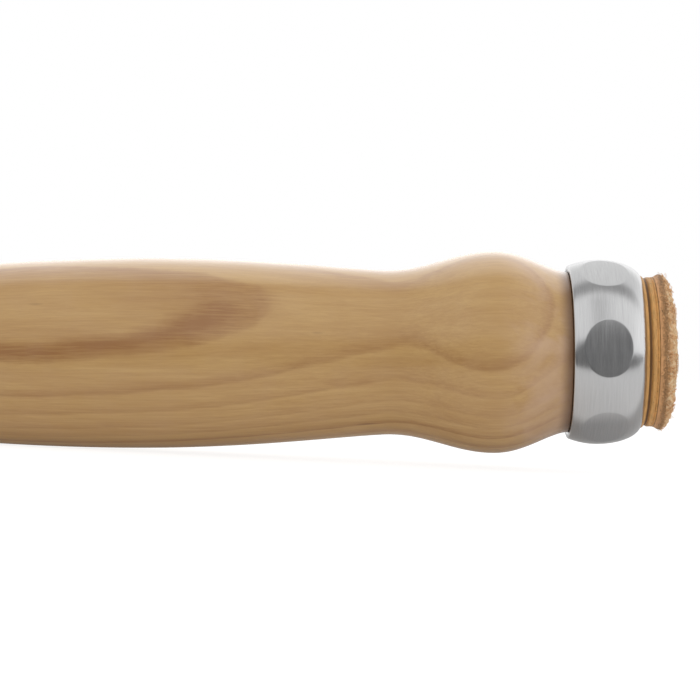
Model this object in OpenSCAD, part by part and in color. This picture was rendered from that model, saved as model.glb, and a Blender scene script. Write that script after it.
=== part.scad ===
// Mallet-struck carving gouge: forged U-section blade with a tang, turned hardwood
// grip, steel ferrule, steel striking hoop with ground flats, and a leather strike pad.
// The tool's axis is X. The origin is the centre of the strike face, +X points out of
// it, and the blade runs towards -X with the hollow of its sweep facing -Z, the way the
// tool is laid down: on the barrel of its grip and the two corners of its edge.

/* [Grip] */
// Length of the grip, from the ferrule to the hoop
grip_len = 135.6; // [112:0.1:180]
// Diameter at the ferrule
grip_front_d = 32; // [31:0.1:36]
// Diameter of the barrel, where the palm closes round the grip
barrel_d = 37.9; // [34:0.1:46]
// Diameter of the waist
waist_d = 32.8; // [28:0.1:34]
// Diameter of the bulb behind the hoop
bulb_d = 40.3; // [36:0.1:50]
// Diameter where the wood meets the hoop
grip_back_d = 32; // [31.2:0.1:33.8]
// Distance from the ferrule to the widest point of the barrel
barrel_ahead = 52; // [40:0.5:64]
// Distance from the hoop to the narrowest point of the waist
waist_back = 36.1; // [28:0.1:42]
// Distance from the hoop to the widest point of the bulb
bulb_back = 14.6; // [11:0.1:18]
// Radius worked on the front edge of the grip
front_round = 2; // [0.5:0.1:3]

/* [Striking hoop] */
// Width of the hoop along the tool
hoop_w = 14.4; // [12:0.1:20]
// Largest outside diameter of the hoop
hoop_d = 36.8; // [35.2:0.1:44]
// Bore of the hoop
hoop_bore_d = 30.6; // [26:0.1:31]
// Distance from the hoop's rear end to its crown
crown_at = 5.9; // [5:0.1:9]
// How far the crown falls towards the grip
crown_fall_rear = 1.15; // [0.5:0.05:2]
// How far the rounded nose falls towards the strike face
crown_fall_nose = 3.7; // [1.5:0.1:4]
// Number of flats ground round the crown
flats = 6; // [4:1:8]
// Distance across two opposite flats
across_flats = 35.6; // [34:0.1:36.6]
// Turn of the first flat up from -Y, in degrees
flat_turn = 2.6; // [-30:0.1:30]

/* [Strike pad] */
// Thickness of the outer leather washer
outer_pad_t = 3.5; // [2:0.1:6]
// Thickness of the middle leather washer
middle_pad_t = 1.5; // [1:0.1:4]
// Thickness of the inner leather washer
inner_pad_t = 3; // [2:0.1:5]
// How deep the inner washer sits inside the hoop
pad_in_hoop = 2; // [0.5:0.1:4]
// Diameter to which blows have spread the outer washer
spread_d = 31.2; // [30:0.1:34]
// Diameter of the tenon that the washers are threaded on
tenon_d = 9; // [6:0.1:14]
// How far the tenon stops short of the strike face
tenon_recess = 1.5; // [0.5:0.1:3]

/* [Ferrule and buffer] */
// Length of the ferrule
ferrule_len = 16; // [12:0.5:24]
// Outside diameter of the ferrule
ferrule_d = 29.5; // [26:0.1:30.5]
// Wall of the ferrule
ferrule_wall = 1.5; // [1:0.1:2.5]
// Thickness of the leather buffer between bolster and grip
buffer_t = 3; // [2:0.1:5]
// Diameter of the leather buffer
buffer_d = 28.5; // [24:0.1:30]

/* [Blade] */
// Length of the blade, from the bolster to the cutting edge
blade_len = 200; // [160:1:250]
// Width across the cutting edge
blade_w = 36; // [30:0.5:42]
// Width at the root of the hollow
root_w = 29; // [24:0.5:36]
// Outside radius of the sweep
sweep_r = 22; // [21.5:0.5:30]
// Thickness of the blade's wall
blade_t = 3.5; // [2.5:0.1:5]
// How far the back of the blade rises above the tool's axis
back_rise = 6; // [5:0.5:9]
// Length of the round shank ahead of the bolster
shank_len = 34; // [20:1:50]
// Diameter of the shank where it is thinnest
shank_d = 12; // [9:0.5:15]
// Length over which the shank flares into the hollow
flare_len = 52; // [40:1:70]
// Angle of the bevel ground on the back of the edge
bevel_deg = 22; // [15:1:35]
// Thickness left at the cutting edge
edge_t = 0.15; // [0.1:0.05:0.5]
// Diameter of the bolster
bolster_d = 25; // [20:0.1:28]
// Thickness of the bolster
bolster_t = 5.5; // [4:0.1:9]
// Radius of the cove between bolster and shank
bolster_cove = 5; // [2:0.1:6]
// Chamfer on the bolster's edges
bolster_chamfer = 0.7; // [0.3:0.1:1.5]

/* [Tang] */
// Length of the tang, from the bolster
tang_len = 84; // [50:1:110]
// Width of the square tang at the bolster
tang_w = 9; // [7:0.1:12]
// Width of the square tang at its tip
tang_tip_w = 4; // [3:0.1:6]

/* [Fits] */
// Radial gap where one turned piece fits in another
fit_gap = 0.05; // [0.02:0.01:0.15]
// Gap between the tang and the hole burnt for it
tang_gap = 0.15; // [0.05:0.05:0.3]

/* [Hidden] */
$fn = 96;

// Places along the axis, from the strike face forward to the blade
x_outer_rear = -outer_pad_t;
x_middle_rear = x_outer_rear - middle_pad_t;
x_inner_rear = x_middle_rear - inner_pad_t;
x_hoop_nose = x_inner_rear + pad_in_hoop;
x_hoop_rear = x_hoop_nose - hoop_w;
x_grip_front = x_hoop_rear - grip_len;
x_ferrule_front = x_grip_front - ferrule_len;
x_bolster_rear = x_ferrule_front - buffer_t;
x_bolster_front = x_bolster_rear - bolster_t;

// The grip's outline: [place along the axis, radius] of its five turning marks, and the
// fullness of the curve between each two of them
marks = [[x_grip_front, grip_front_d / 2],
         [x_grip_front + barrel_ahead, barrel_d / 2],
         [x_hoop_rear - waist_back, waist_d / 2],
         [x_hoop_rear - bulb_back, bulb_d / 2],
         [x_hoop_rear, grip_back_d / 2]];
fullness_front = 1;
fullness_palm = 1.35;
fullness_throat = 2.5;
fullness_back = 1.75;
step_palm = 3;
step_bulb = 1;

over = 1;                  // how far a cutter runs past the faces it cuts
crown_steps = 9;
nose_wall = 0.1;           // thickness left where the hoop's nose meets its bore
seat_d = hoop_bore_d - 2 * fit_gap;
pad_d = hoop_bore_d - 2 * fit_gap;
pad_hole_d = tenon_d + 2 * fit_gap;
spigot_d = ferrule_d - 2 * ferrule_wall - 2 * fit_gap;
middle_pad_shy = 0.6;      // how much smaller the middle washer is cut
middle_pad_d = pad_d - middle_pad_shy;
spread_crown = 0.6;        // share of the outer washer's thickness ahead of its bulge
pad_corner = 0.9;          // rounding of the beaten corner of the strike face

sweep_in_r = sweep_r - blade_t;
sweep_z = back_rise - sweep_r;
bevel_len = blade_t / tan(bevel_deg);
hollow_at = shank_len + flare_len;
across = 14;               // steps across the blade's width
flare_steps = 18;
shank_steps = 5;
body_steps = 4;
side_deg = 10;             // half-angle of the shank's side facet
shank_waist = 1.2;         // how much thicker the shank is at the bolster
cove_bite = 0.3;           // how deep the foot of the bolster's cove lies in the shank

// Fullness curve: 1 at its top, 0 at t = 1
function bell(t, p) = pow(max(0, 1 - t * t), p);

function reversed(list) = [for (i = [len(list) - 1:-1:0]) list[i]];

function without_repeats(list) =
    [for (i = [0:len(list) - 1]) if (i == 0 || norm(list[i] - list[i - 1]) > 0.01) list[i]];

// Curve that leaves mark a level and ends at mark b, in steps of about one step
function swell(a, b, p, step) =
    let (n = ceil(abs(b[0] - a[0]) / step))
    [for (i = [0:n]) [a[0] + (b[0] - a[0]) * i / n, b[1] + (a[1] - b[1]) * bell(i / n, p)]];

// Part of a circle of radius r about c, from angle a0 to a1
function arc(c, r, a0, a1, n = 6) =
    [for (i = [0:n]) let (a = a0 + (a1 - a0) * i / n) c + r * [cos(a), sin(a)]];

// Front of the grip: its rounded edge, then the swell up to the barrel
function grip_nose() =
    let (ahead = marks[1][0] - marks[0][0],
         rise = marks[1][1] - marks[0][1],
         top = marks[0] + [front_round, rise * bell(1 - front_round / ahead, fullness_front)])
    concat(arc(top - [0, front_round], front_round, 180, 90),
           reversed(swell(marks[1], top, fullness_front, step_palm)));

function grip_curve() = without_repeats(concat(
    grip_nose(),
    swell(marks[1], marks[2], fullness_palm, step_palm),
    reversed(swell(marks[3], marks[2], fullness_throat, step_bulb)),
    swell(marks[3], marks[4], fullness_back, step_bulb)));

// Section of the hoop: a rear edge that swells to the crown and a rounded nose,
// cut off by the bore
function hoop_section() =
    let (r = hoop_d / 2,
         bore = hoop_bore_d / 2,
         crown = x_hoop_rear + crown_at,
         nose = x_hoop_nose - crown,
         rear = [for (i = [crown_steps:-1:0]) let (t = i / crown_steps)
                 [crown - crown_at * t, r - crown_fall_rear * t * t]],
         front = [for (a = [80:-5:0])
                  [crown + nose * cos(a), r - crown_fall_nose * (1 - sin(a))]])
    concat([[x_hoop_rear, bore]], rear,
           [for (q = front) if (q[1] > bore + nose_wall) q],
           [[x_hoop_nose, bore + nose_wall], [x_hoop_nose, bore]]);

// Section of a solid turned about the X axis, given as [place, radius] points
module turned(points) {
    rotate([90, 0, 90])
        rotate_extrude()
            polygon([for (q = points) [q[1], q[0]]]);
}

// Disc or rod of diameter d from place x0 to x1
module rod(d, x0, x1) {
    translate([x0, 0, 0])
        rotate([0, 90, 0])
            cylinder(d = d, h = x1 - x0);
}

// Square taper of the tang, larger by gap on every face
module tang_taper(gap, past_rear) {
    x_tip = x_bolster_front + bolster_t + tang_len;
    slope = (tang_w - tang_tip_w) / 2 / tang_len;
    x_end = x_tip + gap;
    x_start = x_bolster_rear - past_rear;
    w_end = tang_tip_w + 2 * gap - 2 * slope * gap;
    w_start = tang_w + 2 * gap + 2 * slope * past_rear;
    translate([x_start, 0, 0])
        rotate([0, 90, 0])
            rotate([0, 0, 45])
                cylinder(d1 = w_start * sqrt(2), d2 = w_end * sqrt(2), h = x_end - x_start, $fn = 4);
}

function mix(a, b, t) = a + (b - a) * t;

function eased(t) = let (c = min(1, max(0, t))) c * c * (3 - 2 * c);

// Closed ring of the round shank, at radius r: its upper side first, then its underside
function shank_ring(r) =
    let (sweep = 180 - 2 * side_deg)
    concat([for (i = [0:across]) let (a = side_deg + sweep * i / across) r * [cos(a), sin(a)]],
           [for (i = [0:across]) let (a = 180 + side_deg + sweep * i / across) r * [cos(a), sin(a)]]);

// Closed ring of the U section: its back at radius r_out, then the hollow
function sweep_ring(width, r_out) =
    let (half = asin(width / 2 / sweep_r))
    concat([for (i = [0:across]) let (a = mix(half, -half, i / across))
            [r_out * sin(a), sweep_z + r_out * cos(a)]],
           [for (i = [0:across]) let (a = mix(-half, half, i / across))
            [sweep_in_r * sin(a), sweep_z + sweep_in_r * cos(a)]]);

// Ring of the blade at distance s ahead of the bolster
function blade_ring(s) =
    let (flare = eased((s - shank_len) / flare_len),
         r = shank_d / 2 + shank_waist * (1 - eased(s / shank_len)),
         width = mix(root_w, blade_w, max(0, s - shank_len) / (blade_len - shank_len)),
         ground = min(1, (blade_len - s) / bevel_len),
         r_out = sweep_in_r + max(edge_t, blade_t * ground),
         round = shank_ring(r),
         hollow = sweep_ring(width, r_out))
    [for (i = [0:len(round) - 1]) let (q = mix(round[i], hollow[i], flare))
     [x_bolster_front - s, q[0], q[1]]];

module blade_loft() {
    bevel_at = blade_len - bevel_len;
    stations = concat([for (i = [0:shank_steps]) mix(-bolster_t / 2, shank_len, i / shank_steps)],
                      [for (i = [1:flare_steps]) shank_len + flare_len * i / flare_steps],
                      [for (i = [1:body_steps]) mix(hollow_at, bevel_at, i / body_steps)],
                      [blade_len]);
    rings = [for (s = stations) blade_ring(s)];
    m = 2 * (across + 1);
    last = (len(rings) - 1) * m;
    polyhedron(
        points = [for (ring = rings) each ring],
        faces = concat(
            [for (j = [0:len(rings) - 2]) for (k = [0:m - 1]) let (a = j * m, n = (k + 1) % m)
             each [[a + k, a + n, a + m + n], [a + k, a + m + n, a + m + k]]],
            [for (k = [0:across - 1]) each [[k + 1, k, m - 1 - k], [k + 1, m - 1 - k, m - 2 - k]]],
            [for (k = [0:across - 1]) let (a = last + k, b = last + m - 1 - k)
             each [[a, a + 1, b], [a + 1, b - 1, b]]]));
}

// Bolster: a chamfered collar with a cove down to the shank
module bolster() {
    c = bolster_chamfer;
    r = bolster_d / 2;
    foot = shank_d / 2 + shank_waist - cove_bite;
    turned(concat([[x_bolster_rear, 0], [x_bolster_rear, r - c], [x_bolster_rear - c, r],
                   [x_bolster_front + c, r], [x_bolster_front, r - c]],
                  arc([x_bolster_front - bolster_cove, foot + bolster_cove], bolster_cove, 0, -90),
                  [[x_bolster_front - bolster_cove, 0]]));
}

module gouge_blade() {
    color([0.62, 0.63, 0.64]) {
        blade_loft();
        bolster();
        tang_taper(0, bolster_t / 2);
    }
}

module buffer_washer() {
    color([0.55, 0.38, 0.22])
        difference() {
            rod(buffer_d, x_bolster_rear, x_ferrule_front);
            tang_taper(tang_gap, over);
        }
}

module ferrule() {
    color([0.72, 0.73, 0.74])
        difference() {
            rod(ferrule_d, x_ferrule_front, x_grip_front);
            rod(ferrule_d - 2 * ferrule_wall, x_ferrule_front - over, x_grip_front + over);
        }
}

module grip() {
    color([0.85, 0.68, 0.45])
        difference() {
            turned(concat([[x_ferrule_front, 0], [x_ferrule_front, spigot_d / 2],
                           [x_grip_front, spigot_d / 2]],
                          grip_curve(),
                          [[x_hoop_rear, seat_d / 2], [x_inner_rear, seat_d / 2],
                           [x_inner_rear, tenon_d / 2], [-tenon_recess, tenon_d / 2],
                           [-tenon_recess, 0]]));
            tang_taper(tang_gap, buffer_t + over);
        }
}

module striking_hoop() {
    color([0.75, 0.75, 0.76])
        intersection() {
            turned(hoop_section());
            rotate([-flat_turn, 0, 0])
                translate([x_hoop_rear - over, 0, 0])
                    rotate([0, 90, 0])
                        rotate([0, 0, 180 / flats - 90])
                            cylinder(d = across_flats / cos(180 / flats), h = hoop_w + 2 * over, $fn = flats);
        }
}

// Leather washer turned to the given section, with the hole for the tenon
module pad_washer(points) {
    difference() {
        turned(points);
        rod(pad_hole_d, points[0][0] - over, over);
    }
}

module inner_pad_washer() {
    color([0.74, 0.55, 0.33])
        pad_washer([[x_inner_rear, 0], [x_inner_rear, pad_d / 2],
                    [x_middle_rear, pad_d / 2], [x_middle_rear, 0]]);
}

module middle_pad_washer() {
    color([0.68, 0.50, 0.32])
        pad_washer([[x_middle_rear, 0], [x_middle_rear, middle_pad_d / 2],
                    [x_outer_rear, middle_pad_d / 2], [x_outer_rear, 0]]);
}

module outer_pad_washer() {
    r = middle_pad_d / 2;
    bulge = spread_d / 2;
    x_bulge = x_outer_rear * spread_crown;
    color([0.62, 0.43, 0.26])
        pad_washer(concat([[x_outer_rear, 0], [x_outer_rear, r], [x_bulge, bulge]],
                          arc([-pad_corner, bulge - pad_corner], pad_corner, 60, 0),
                          [[0, 0]]));
}

gouge_blade();
buffer_washer();
ferrule();
grip();
striking_hoop();
inner_pad_washer();
middle_pad_washer();
outer_pad_washer();
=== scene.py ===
# %% [markdown]
# # A mallet-struck carving gouge
#
# This notebook dresses a finished CAD model of a heavy carving gouge: a forged blade, a turned
# hardwood grip, a steel ferrule, a steel striking hoop and a pad of leather washers that takes the
# mallet's blows. The CAD model says where everything is and how big it is. Blender's part is the
# looks: soft edges, smooth turned surfaces, wood figure, brushed steel and beaten leather.
#
# The model comes in as a fixed frame, in metres. The tool's axis is X, the strike face is at
# x = 0 and the cutting edge points to -X. Nothing in the frame is moved. A piece that needs a
# finer surface than the CAD solid has is made again in its place, and takes its sizes from it.

# %% Load the frame
import math

import bmesh
import bpy
import numpy as np
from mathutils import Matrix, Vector, noise


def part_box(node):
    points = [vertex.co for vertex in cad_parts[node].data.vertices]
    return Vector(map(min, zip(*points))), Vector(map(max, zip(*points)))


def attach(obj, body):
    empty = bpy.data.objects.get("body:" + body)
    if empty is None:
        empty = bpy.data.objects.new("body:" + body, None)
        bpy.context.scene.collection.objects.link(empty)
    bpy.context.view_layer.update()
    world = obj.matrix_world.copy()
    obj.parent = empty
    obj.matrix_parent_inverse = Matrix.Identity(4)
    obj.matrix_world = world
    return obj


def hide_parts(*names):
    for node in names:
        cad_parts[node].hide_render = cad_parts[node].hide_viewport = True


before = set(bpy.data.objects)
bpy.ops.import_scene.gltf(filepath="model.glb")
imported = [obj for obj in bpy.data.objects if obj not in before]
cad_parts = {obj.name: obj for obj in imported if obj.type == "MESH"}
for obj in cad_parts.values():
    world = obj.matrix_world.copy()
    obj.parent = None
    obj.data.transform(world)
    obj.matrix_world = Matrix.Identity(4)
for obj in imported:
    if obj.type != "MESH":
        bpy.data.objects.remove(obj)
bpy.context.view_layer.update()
BODY = "root"
MM = 0.001
for name in sorted(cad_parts):
    low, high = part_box(name)
    print(f"{name:18s} x {low.x / MM:7.1f} to {high.x / MM:6.1f}   d {(high.z - low.z) / MM:5.1f} mm")

# %% [markdown]
# ## The camera
#
# The tool is seen square from the side, with only its struck end and most of the grip in the
# picture. A long lens from half a metre keeps the perspective weak, as in a catalogue picture.
# The view is given by three facts: how much of the tool's length fills the picture, which point
# of the axis is in its middle, and how far away the camera stands. The lens follows from them.

# %% Camera
view_width = 140 * MM        # length of tool that fills the picture
view_middle = -63.8 * MM     # place along the axis in the middle of the picture
camera_distance = 500 * MM
camera_height = 0.5 * MM
camera_roll = math.radians(0.13)

camera_data = bpy.data.cameras.new("camera")
camera_data.sensor_width = 36
camera_data.lens = camera_data.sensor_width * camera_distance / view_width
camera_data.clip_start = 0.01
camera = bpy.data.objects.new("camera", camera_data)
camera.location = (view_middle, -camera_distance, camera_height)
camera.rotation_euler = (math.radians(90), camera_roll, 0)
bpy.context.scene.collection.objects.link(camera)
bpy.context.scene.camera = camera
print(f"lens {camera_data.lens:.1f} mm")

# %% [markdown]
# ## A lathe made of nodes
#
# Most pieces of this tool are turned, so one Geometry Nodes tree does the turning for all of
# them. It reads an outline, which is a chain of points with x along the axis and y as the
# radius, and wraps a grid round the axis: one way the grid follows the outline, the other way
# it goes round the circle. Merging by distance then closes the seam and the poles.
#
# The same tree can grind flats. A flat lies at a fixed distance from the axis, so round the
# circle its radius is that distance over the cosine of the angle from its middle. A slack
# grinding belt leaves the flat a little domed: the angle then counts for less, which is what
# `Flat Truth` says, from 1 for a true plane to 0 for none. `Flat Lean` tilts the flats, so that
# they bite deeper towards one end. The surface takes whichever radius is smaller, and a smooth
# minimum leaves a softened edge. The alternative, a boolean cut with a bevel, breaks as soon as a
# size changes.

# %% Node helpers
def link(tree, a, b):
    tree.links.new(a, b)


def value_into(tree, socket, value):
    """Feeds a socket from another socket or from a plain value."""
    if isinstance(value, bpy.types.NodeSocket):
        link(tree, value, socket)
    else:
        socket.default_value = value


def math_node(tree, operation, *values):
    node = tree.nodes.new("ShaderNodeMath")
    node.operation = operation
    for socket, value in zip(node.inputs, values):
        value_into(tree, socket, value)
    return node.outputs[0]


def vector_node(tree, operation, *values):
    node = tree.nodes.new("ShaderNodeVectorMath")
    node.operation = operation
    for socket, value in zip(node.inputs, values):
        value_into(tree, socket, value)
    return node.outputs["Value" if operation in ("LENGTH", "DOT_PRODUCT") else "Vector"]


def split(tree, point):
    """The three numbers of a point."""
    node = tree.nodes.new("ShaderNodeSeparateXYZ")
    link(tree, point, node.inputs[0])
    return node.outputs[0], node.outputs[1], node.outputs[2]


def join(tree, x, y, z):
    """A point from three numbers."""
    node = tree.nodes.new("ShaderNodeCombineXYZ")
    for socket, value in zip(node.inputs, (x, y, z)):
        value_into(tree, socket, value)
    return node.outputs[0]


# %% The two ends of every geometry tree
def new_modifier_tree(name, inputs):
    """A tree with named inputs. Gives the tree, its inputs' identifiers, its source and its result."""
    tree = bpy.data.node_groups.new(name, "GeometryNodeTree")
    tree.interface.new_socket("Geometry", in_out="INPUT", socket_type="NodeSocketGeometry")
    kinds = {"count": "NodeSocketInt", "value": "NodeSocketFloat", "material": "NodeSocketMaterial"}
    identifiers = {}
    for label, kind, start in inputs:
        socket = tree.interface.new_socket(label, in_out="INPUT", socket_type=kinds[kind])
        if start is not None:
            socket.default_value = start
        identifiers[label] = socket.identifier
    tree.interface.new_socket("Geometry", in_out="OUTPUT", socket_type="NodeSocketGeometry")
    source = tree.nodes.new("NodeGroupInput").outputs
    result = tree.nodes.new("NodeGroupOutput").inputs
    return tree, identifiers, source, result


def end_tree(tree, geometry, source, result):
    """The last two steps: instances become real geometry, and it gets the material."""
    real = tree.nodes.new("GeometryNodeRealizeInstances")
    link(tree, geometry, real.inputs["Geometry"])
    dress = tree.nodes.new("GeometryNodeSetMaterial")
    link(tree, real.outputs["Geometry"], dress.inputs["Geometry"])
    link(tree, source["Material"], dress.inputs["Material"])
    link(tree, dress.outputs["Geometry"], result["Geometry"])


def here(tree):
    """The position of the point that a geometry tree is working on."""
    return tree.nodes.new("GeometryNodeInputPosition").outputs[0]


# %% Two steps of the turning tree
def outline_point(tree, source, index):
    """Reads one point of the outline: how far along the axis it lies, and its radius."""
    read = tree.nodes.new("GeometryNodeSampleIndex")
    read.data_type = "FLOAT_VECTOR"
    link(tree, source["Geometry"], read.inputs["Geometry"])
    link(tree, here(tree), read.inputs["Value"])
    link(tree, index, read.inputs["Index"])
    x, radius, _ = split(tree, read.outputs["Value"])
    return x, radius


def ground_radius(tree, source, x, turned_radius, angle):
    """The turned radius or the nearest flat's, whichever is smaller, with a soft edge between."""
    half = math_node(tree, "MULTIPLY", math_node(tree, "DIVIDE", math.tau, source["Flats"]), 0.5)
    from_flat = math_node(tree, "SUBTRACT", angle, source["Flat Turn"])
    wrapped = math_node(tree, "WRAP", from_flat, half, math_node(tree, "MULTIPLY", half, -1.0))
    counted = math_node(tree, "MULTIPLY", wrapped, source["Flat Truth"])
    ahead = math_node(tree, "SUBTRACT", x, source["Lean From"])
    distance = math_node(tree, "SUBTRACT", source["Flat Distance"],
                         math_node(tree, "MULTIPLY", ahead, source["Flat Lean"]))
    flat = math_node(tree, "DIVIDE", distance, math_node(tree, "COSINE", counted))
    return math_node(tree, "SMOOTH_MIN", turned_radius, flat, source["Edge Softness"])


# %% The turning tree
no_flats = {"Flats": 6, "Flat Distance": 1.0, "Flat Truth": 1.0, "Flat Lean": 0.0,
            "Lean From": 0.0, "Flat Turn": 0.0, "Edge Softness": 0.0001}
weld_distance = 1e-6


def make_turning_tree():
    flat_inputs = [(label, "count" if label == "Flats" else "value", start)
                   for label, start in no_flats.items()]
    tree, identifiers, source, result = new_modifier_tree(
        "turning", [("Steps Round", "count", 256), *flat_inputs, ("Material", "material", None)])
    count = tree.nodes.new("GeometryNodeAttributeDomainSize")
    link(tree, source["Geometry"], count.inputs[0])
    points = count.outputs["Point Count"]
    grid = tree.nodes.new("GeometryNodeMeshGrid")
    grid.inputs["Size X"].default_value = 1
    grid.inputs["Size Y"].default_value = 1
    link(tree, points, grid.inputs["Vertices X"])
    link(tree, math_node(tree, "ADD", source["Steps Round"], 1.0), grid.inputs["Vertices Y"])

    along, around, _ = split(tree, here(tree))
    index = math_node(tree, "ROUND", math_node(tree, "MULTIPLY", math_node(tree, "ADD", along, 0.5),
                                               math_node(tree, "SUBTRACT", points, 1.0)))
    angle = math_node(tree, "MULTIPLY", math_node(tree, "ADD", around, 0.5), math.tau)
    x, turned_radius = outline_point(tree, source, index)
    radius = ground_radius(tree, source, x, turned_radius, angle)
    sideways = math_node(tree, "MULTIPLY", math_node(tree, "COSINE", angle), -1.0)
    spot = join(tree, x, math_node(tree, "MULTIPLY", radius, sideways),
                math_node(tree, "MULTIPLY", radius, math_node(tree, "SINE", angle)))

    wrap = tree.nodes.new("GeometryNodeSetPosition")
    link(tree, grid.outputs["Mesh"], wrap.inputs["Geometry"])
    link(tree, spot, wrap.inputs["Position"])
    weld = tree.nodes.new("GeometryNodeMergeByDistance")
    link(tree, wrap.outputs["Geometry"], weld.inputs["Geometry"])
    weld.inputs["Distance"].default_value = weld_distance
    smooth = tree.nodes.new("GeometryNodeSetShadeSmooth")
    link(tree, weld.outputs["Geometry"], smooth.inputs["Geometry"])
    end_tree(tree, smooth.outputs["Geometry"], source, result)
    return tree, identifiers


turning, turning_inputs = make_turning_tree()
print("turning tree:", len(turning.nodes), "nodes")

# %% [markdown]
# ## Helpers that put a piece on the bench
#
# `lay_outline` turns a list of points into the chain that the tree reads. `run_tree` runs a tree
# once, keeps the result as a plain mesh, and removes the modifier, so that what is handed over is
# geometry and not a recipe. `face_outwards` then makes sure that every face points away from the
# metal, the wood or the leather.

# %% Making pieces and attaching them to the tool
def add_object(name, mesh):
    piece = bpy.data.objects.new(name, mesh)
    bpy.context.scene.collection.objects.link(piece)
    return piece


def lay_outline(name, points):
    mesh = bpy.data.meshes.new(name)
    chain = [(i, i + 1) for i in range(len(points) - 1)]
    mesh.from_pydata([(x, r, 0.0) for x, r in points], chain, [])
    return add_object(name, mesh)


def run_tree(piece, tree, identifiers, settings):
    """Runs a tree on a piece with the named settings, and keeps the result as its mesh."""
    recipe = piece.modifiers.new(tree.name, "NODES")
    recipe.node_group = tree
    for label, value in settings.items():
        recipe[identifiers[label]] = value
    evaluated = piece.evaluated_get(bpy.context.evaluated_depsgraph_get())
    mesh = bpy.data.meshes.new_from_object(evaluated)
    piece.modifiers.remove(recipe)
    piece.data = mesh
    mesh.name = piece.name


def face_outwards(mesh):
    """Recalculates the normals of a closed mesh so that they all point out of it."""
    bm = bmesh.new()
    bm.from_mesh(mesh)
    bmesh.ops.recalc_face_normals(bm, faces=bm.faces)
    if bm.calc_volume(signed=True) < 0:
        bmesh.ops.reverse_faces(bm, faces=bm.faces)
    bm.to_mesh(mesh)
    bm.free()


def turn_piece(name, points, material, steps_round=192, ground=no_flats):
    """Turns an outline into a piece. `ground` holds the settings of its flats, if it has any."""
    piece = lay_outline(name, points)
    run_tree(piece, turning, turning_inputs,
             {"Steps Round": steps_round, "Material": material, **ground})
    face_outwards(piece.data)
    return piece


def hand_over(piece, node):
    """The piece stands for a CAD node, which is hidden, and moves with the tool."""
    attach(piece, BODY)
    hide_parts(node)
    size = Vector(piece.dimensions) / MM
    print(f"{piece.name}: {len(piece.data.polygons)} faces, "
          f"{size.x:.1f} x {size.y:.1f} x {size.z:.1f} mm")


# %% [markdown]
# ## Reading a turned outline off the CAD solid
#
# The CAD grip is an exact solid, but it is handed over as triangles: short cones one to three
# millimetres long. Lacquer shows every one of them as a band in its highlight. So the radius is
# read from the solid's own corners at each place along the axis, and a smooth curve is drawn
# through these readings. The new surface keeps the size and loses the bands.

# %% Outline from a CAD node
def corners(node):
    """The node's corners as an array, one row of x, y, z each."""
    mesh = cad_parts[node].data
    flat = np.empty(len(mesh.vertices) * 3)
    mesh.vertices.foreach_get("co", flat)
    return flat.reshape(-1, 3)


def outer_radius(node):
    """Sorted places along the axis where the node has corners, and its largest radius there."""
    radius = {}
    for x, y, z in corners(node):
        key = round(x, 6)
        radius[key] = max(radius.get(key, 0.0), math.hypot(y, z))
    places = np.array(sorted(radius))
    return places, np.array([radius[key] for key in places])


def ends(node):
    low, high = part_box(node)
    return low.x, high.x


def reach(node):
    """Largest radius of a turned node."""
    return float(np.hypot(*corners(node)[:, 1:].T).max())


def bore(node):
    """Radius of the hole through a turned node."""
    return float(np.hypot(*corners(node)[:, 1:].T).min())


# %% A smooth curve, soft corners and short stretches
def smooth_through(places, values, wanted):
    """Cubic curve through the readings, with slopes from the neighbours of each one."""
    slopes = np.gradient(values, places)
    at = np.clip(np.searchsorted(places, wanted) - 1, 0, len(places) - 2)
    span = places[at + 1] - places[at]
    t = (wanted - places[at]) / span
    return ((2 * t**3 - 3 * t**2 + 1) * values[at] + (t**3 - 2 * t**2 + t) * span * slopes[at]
            + (3 * t**2 - 2 * t**3) * values[at + 1] + (t**3 - t**2) * span * slopes[at + 1])


def rounded(points, radius, steps=4):
    """Rounds the inner corners of an outline. The first and the last point stay as they are."""
    out = [Vector(points[0])]
    for before, corner, after in zip(points, points[1:], points[2:]):
        a, c, b = Vector(before), Vector(corner), Vector(after)
        cut = min(radius, (a - c).length * 0.45, (b - c).length * 0.45)
        start, end = c + (a - c).normalized() * cut, c + (b - c).normalized() * cut
        for i in range(steps + 1):
            t = i / steps
            out.append(start * (1 - t)**2 + c * 2 * t * (1 - t) + end * t**2)
    out.append(Vector(points[-1]))
    return [(p.x, p.y) for p in out]


def filled_in(points, step):
    """Adds points on an outline's straight stretches, so that no stretch is longer than step."""
    out = [points[0]]
    for (x0, r0), (x1, r1) in zip(points, points[1:]):
        n = max(1, math.ceil(math.hypot(x1 - x0, r1 - r0) / step))
        out += [(x0 + (x1 - x0) * i / n, r0 + (r1 - r0) * i / n) for i in range(1, n + 1)]
    return out

# %% Places along the tool
bolster_back, ferrule_front = ends("buffer_washer")
grip_front, grip_back = ends("ferrule")[1], ends("striking_hoop")[0]
hoop_front = ends("striking_hoop")[1]
pad_backs = [ends(node)[0] for node in ("inner_pad_washer", "middle_pad_washer", "outer_pad_washer")]
edge_x = ends("gouge_blade")[0]
print("grip", round((grip_back - grip_front) / MM, 1), "mm long")

# %% [markdown]
# ## Building blocks for the materials
#
# A finish is never one colour. What makes steel look ground, wood look turned and leather look
# beaten is fine marks, and most of these marks turn up on more than one material. So each kind of
# mark is a shader group with named inputs and outputs, made once and placed in every material
# that needs it. All of them take a point in millimetres, so their settings read as real sizes.
#
# The small helpers below place one node each and feed its sockets from values or other sockets.

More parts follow.
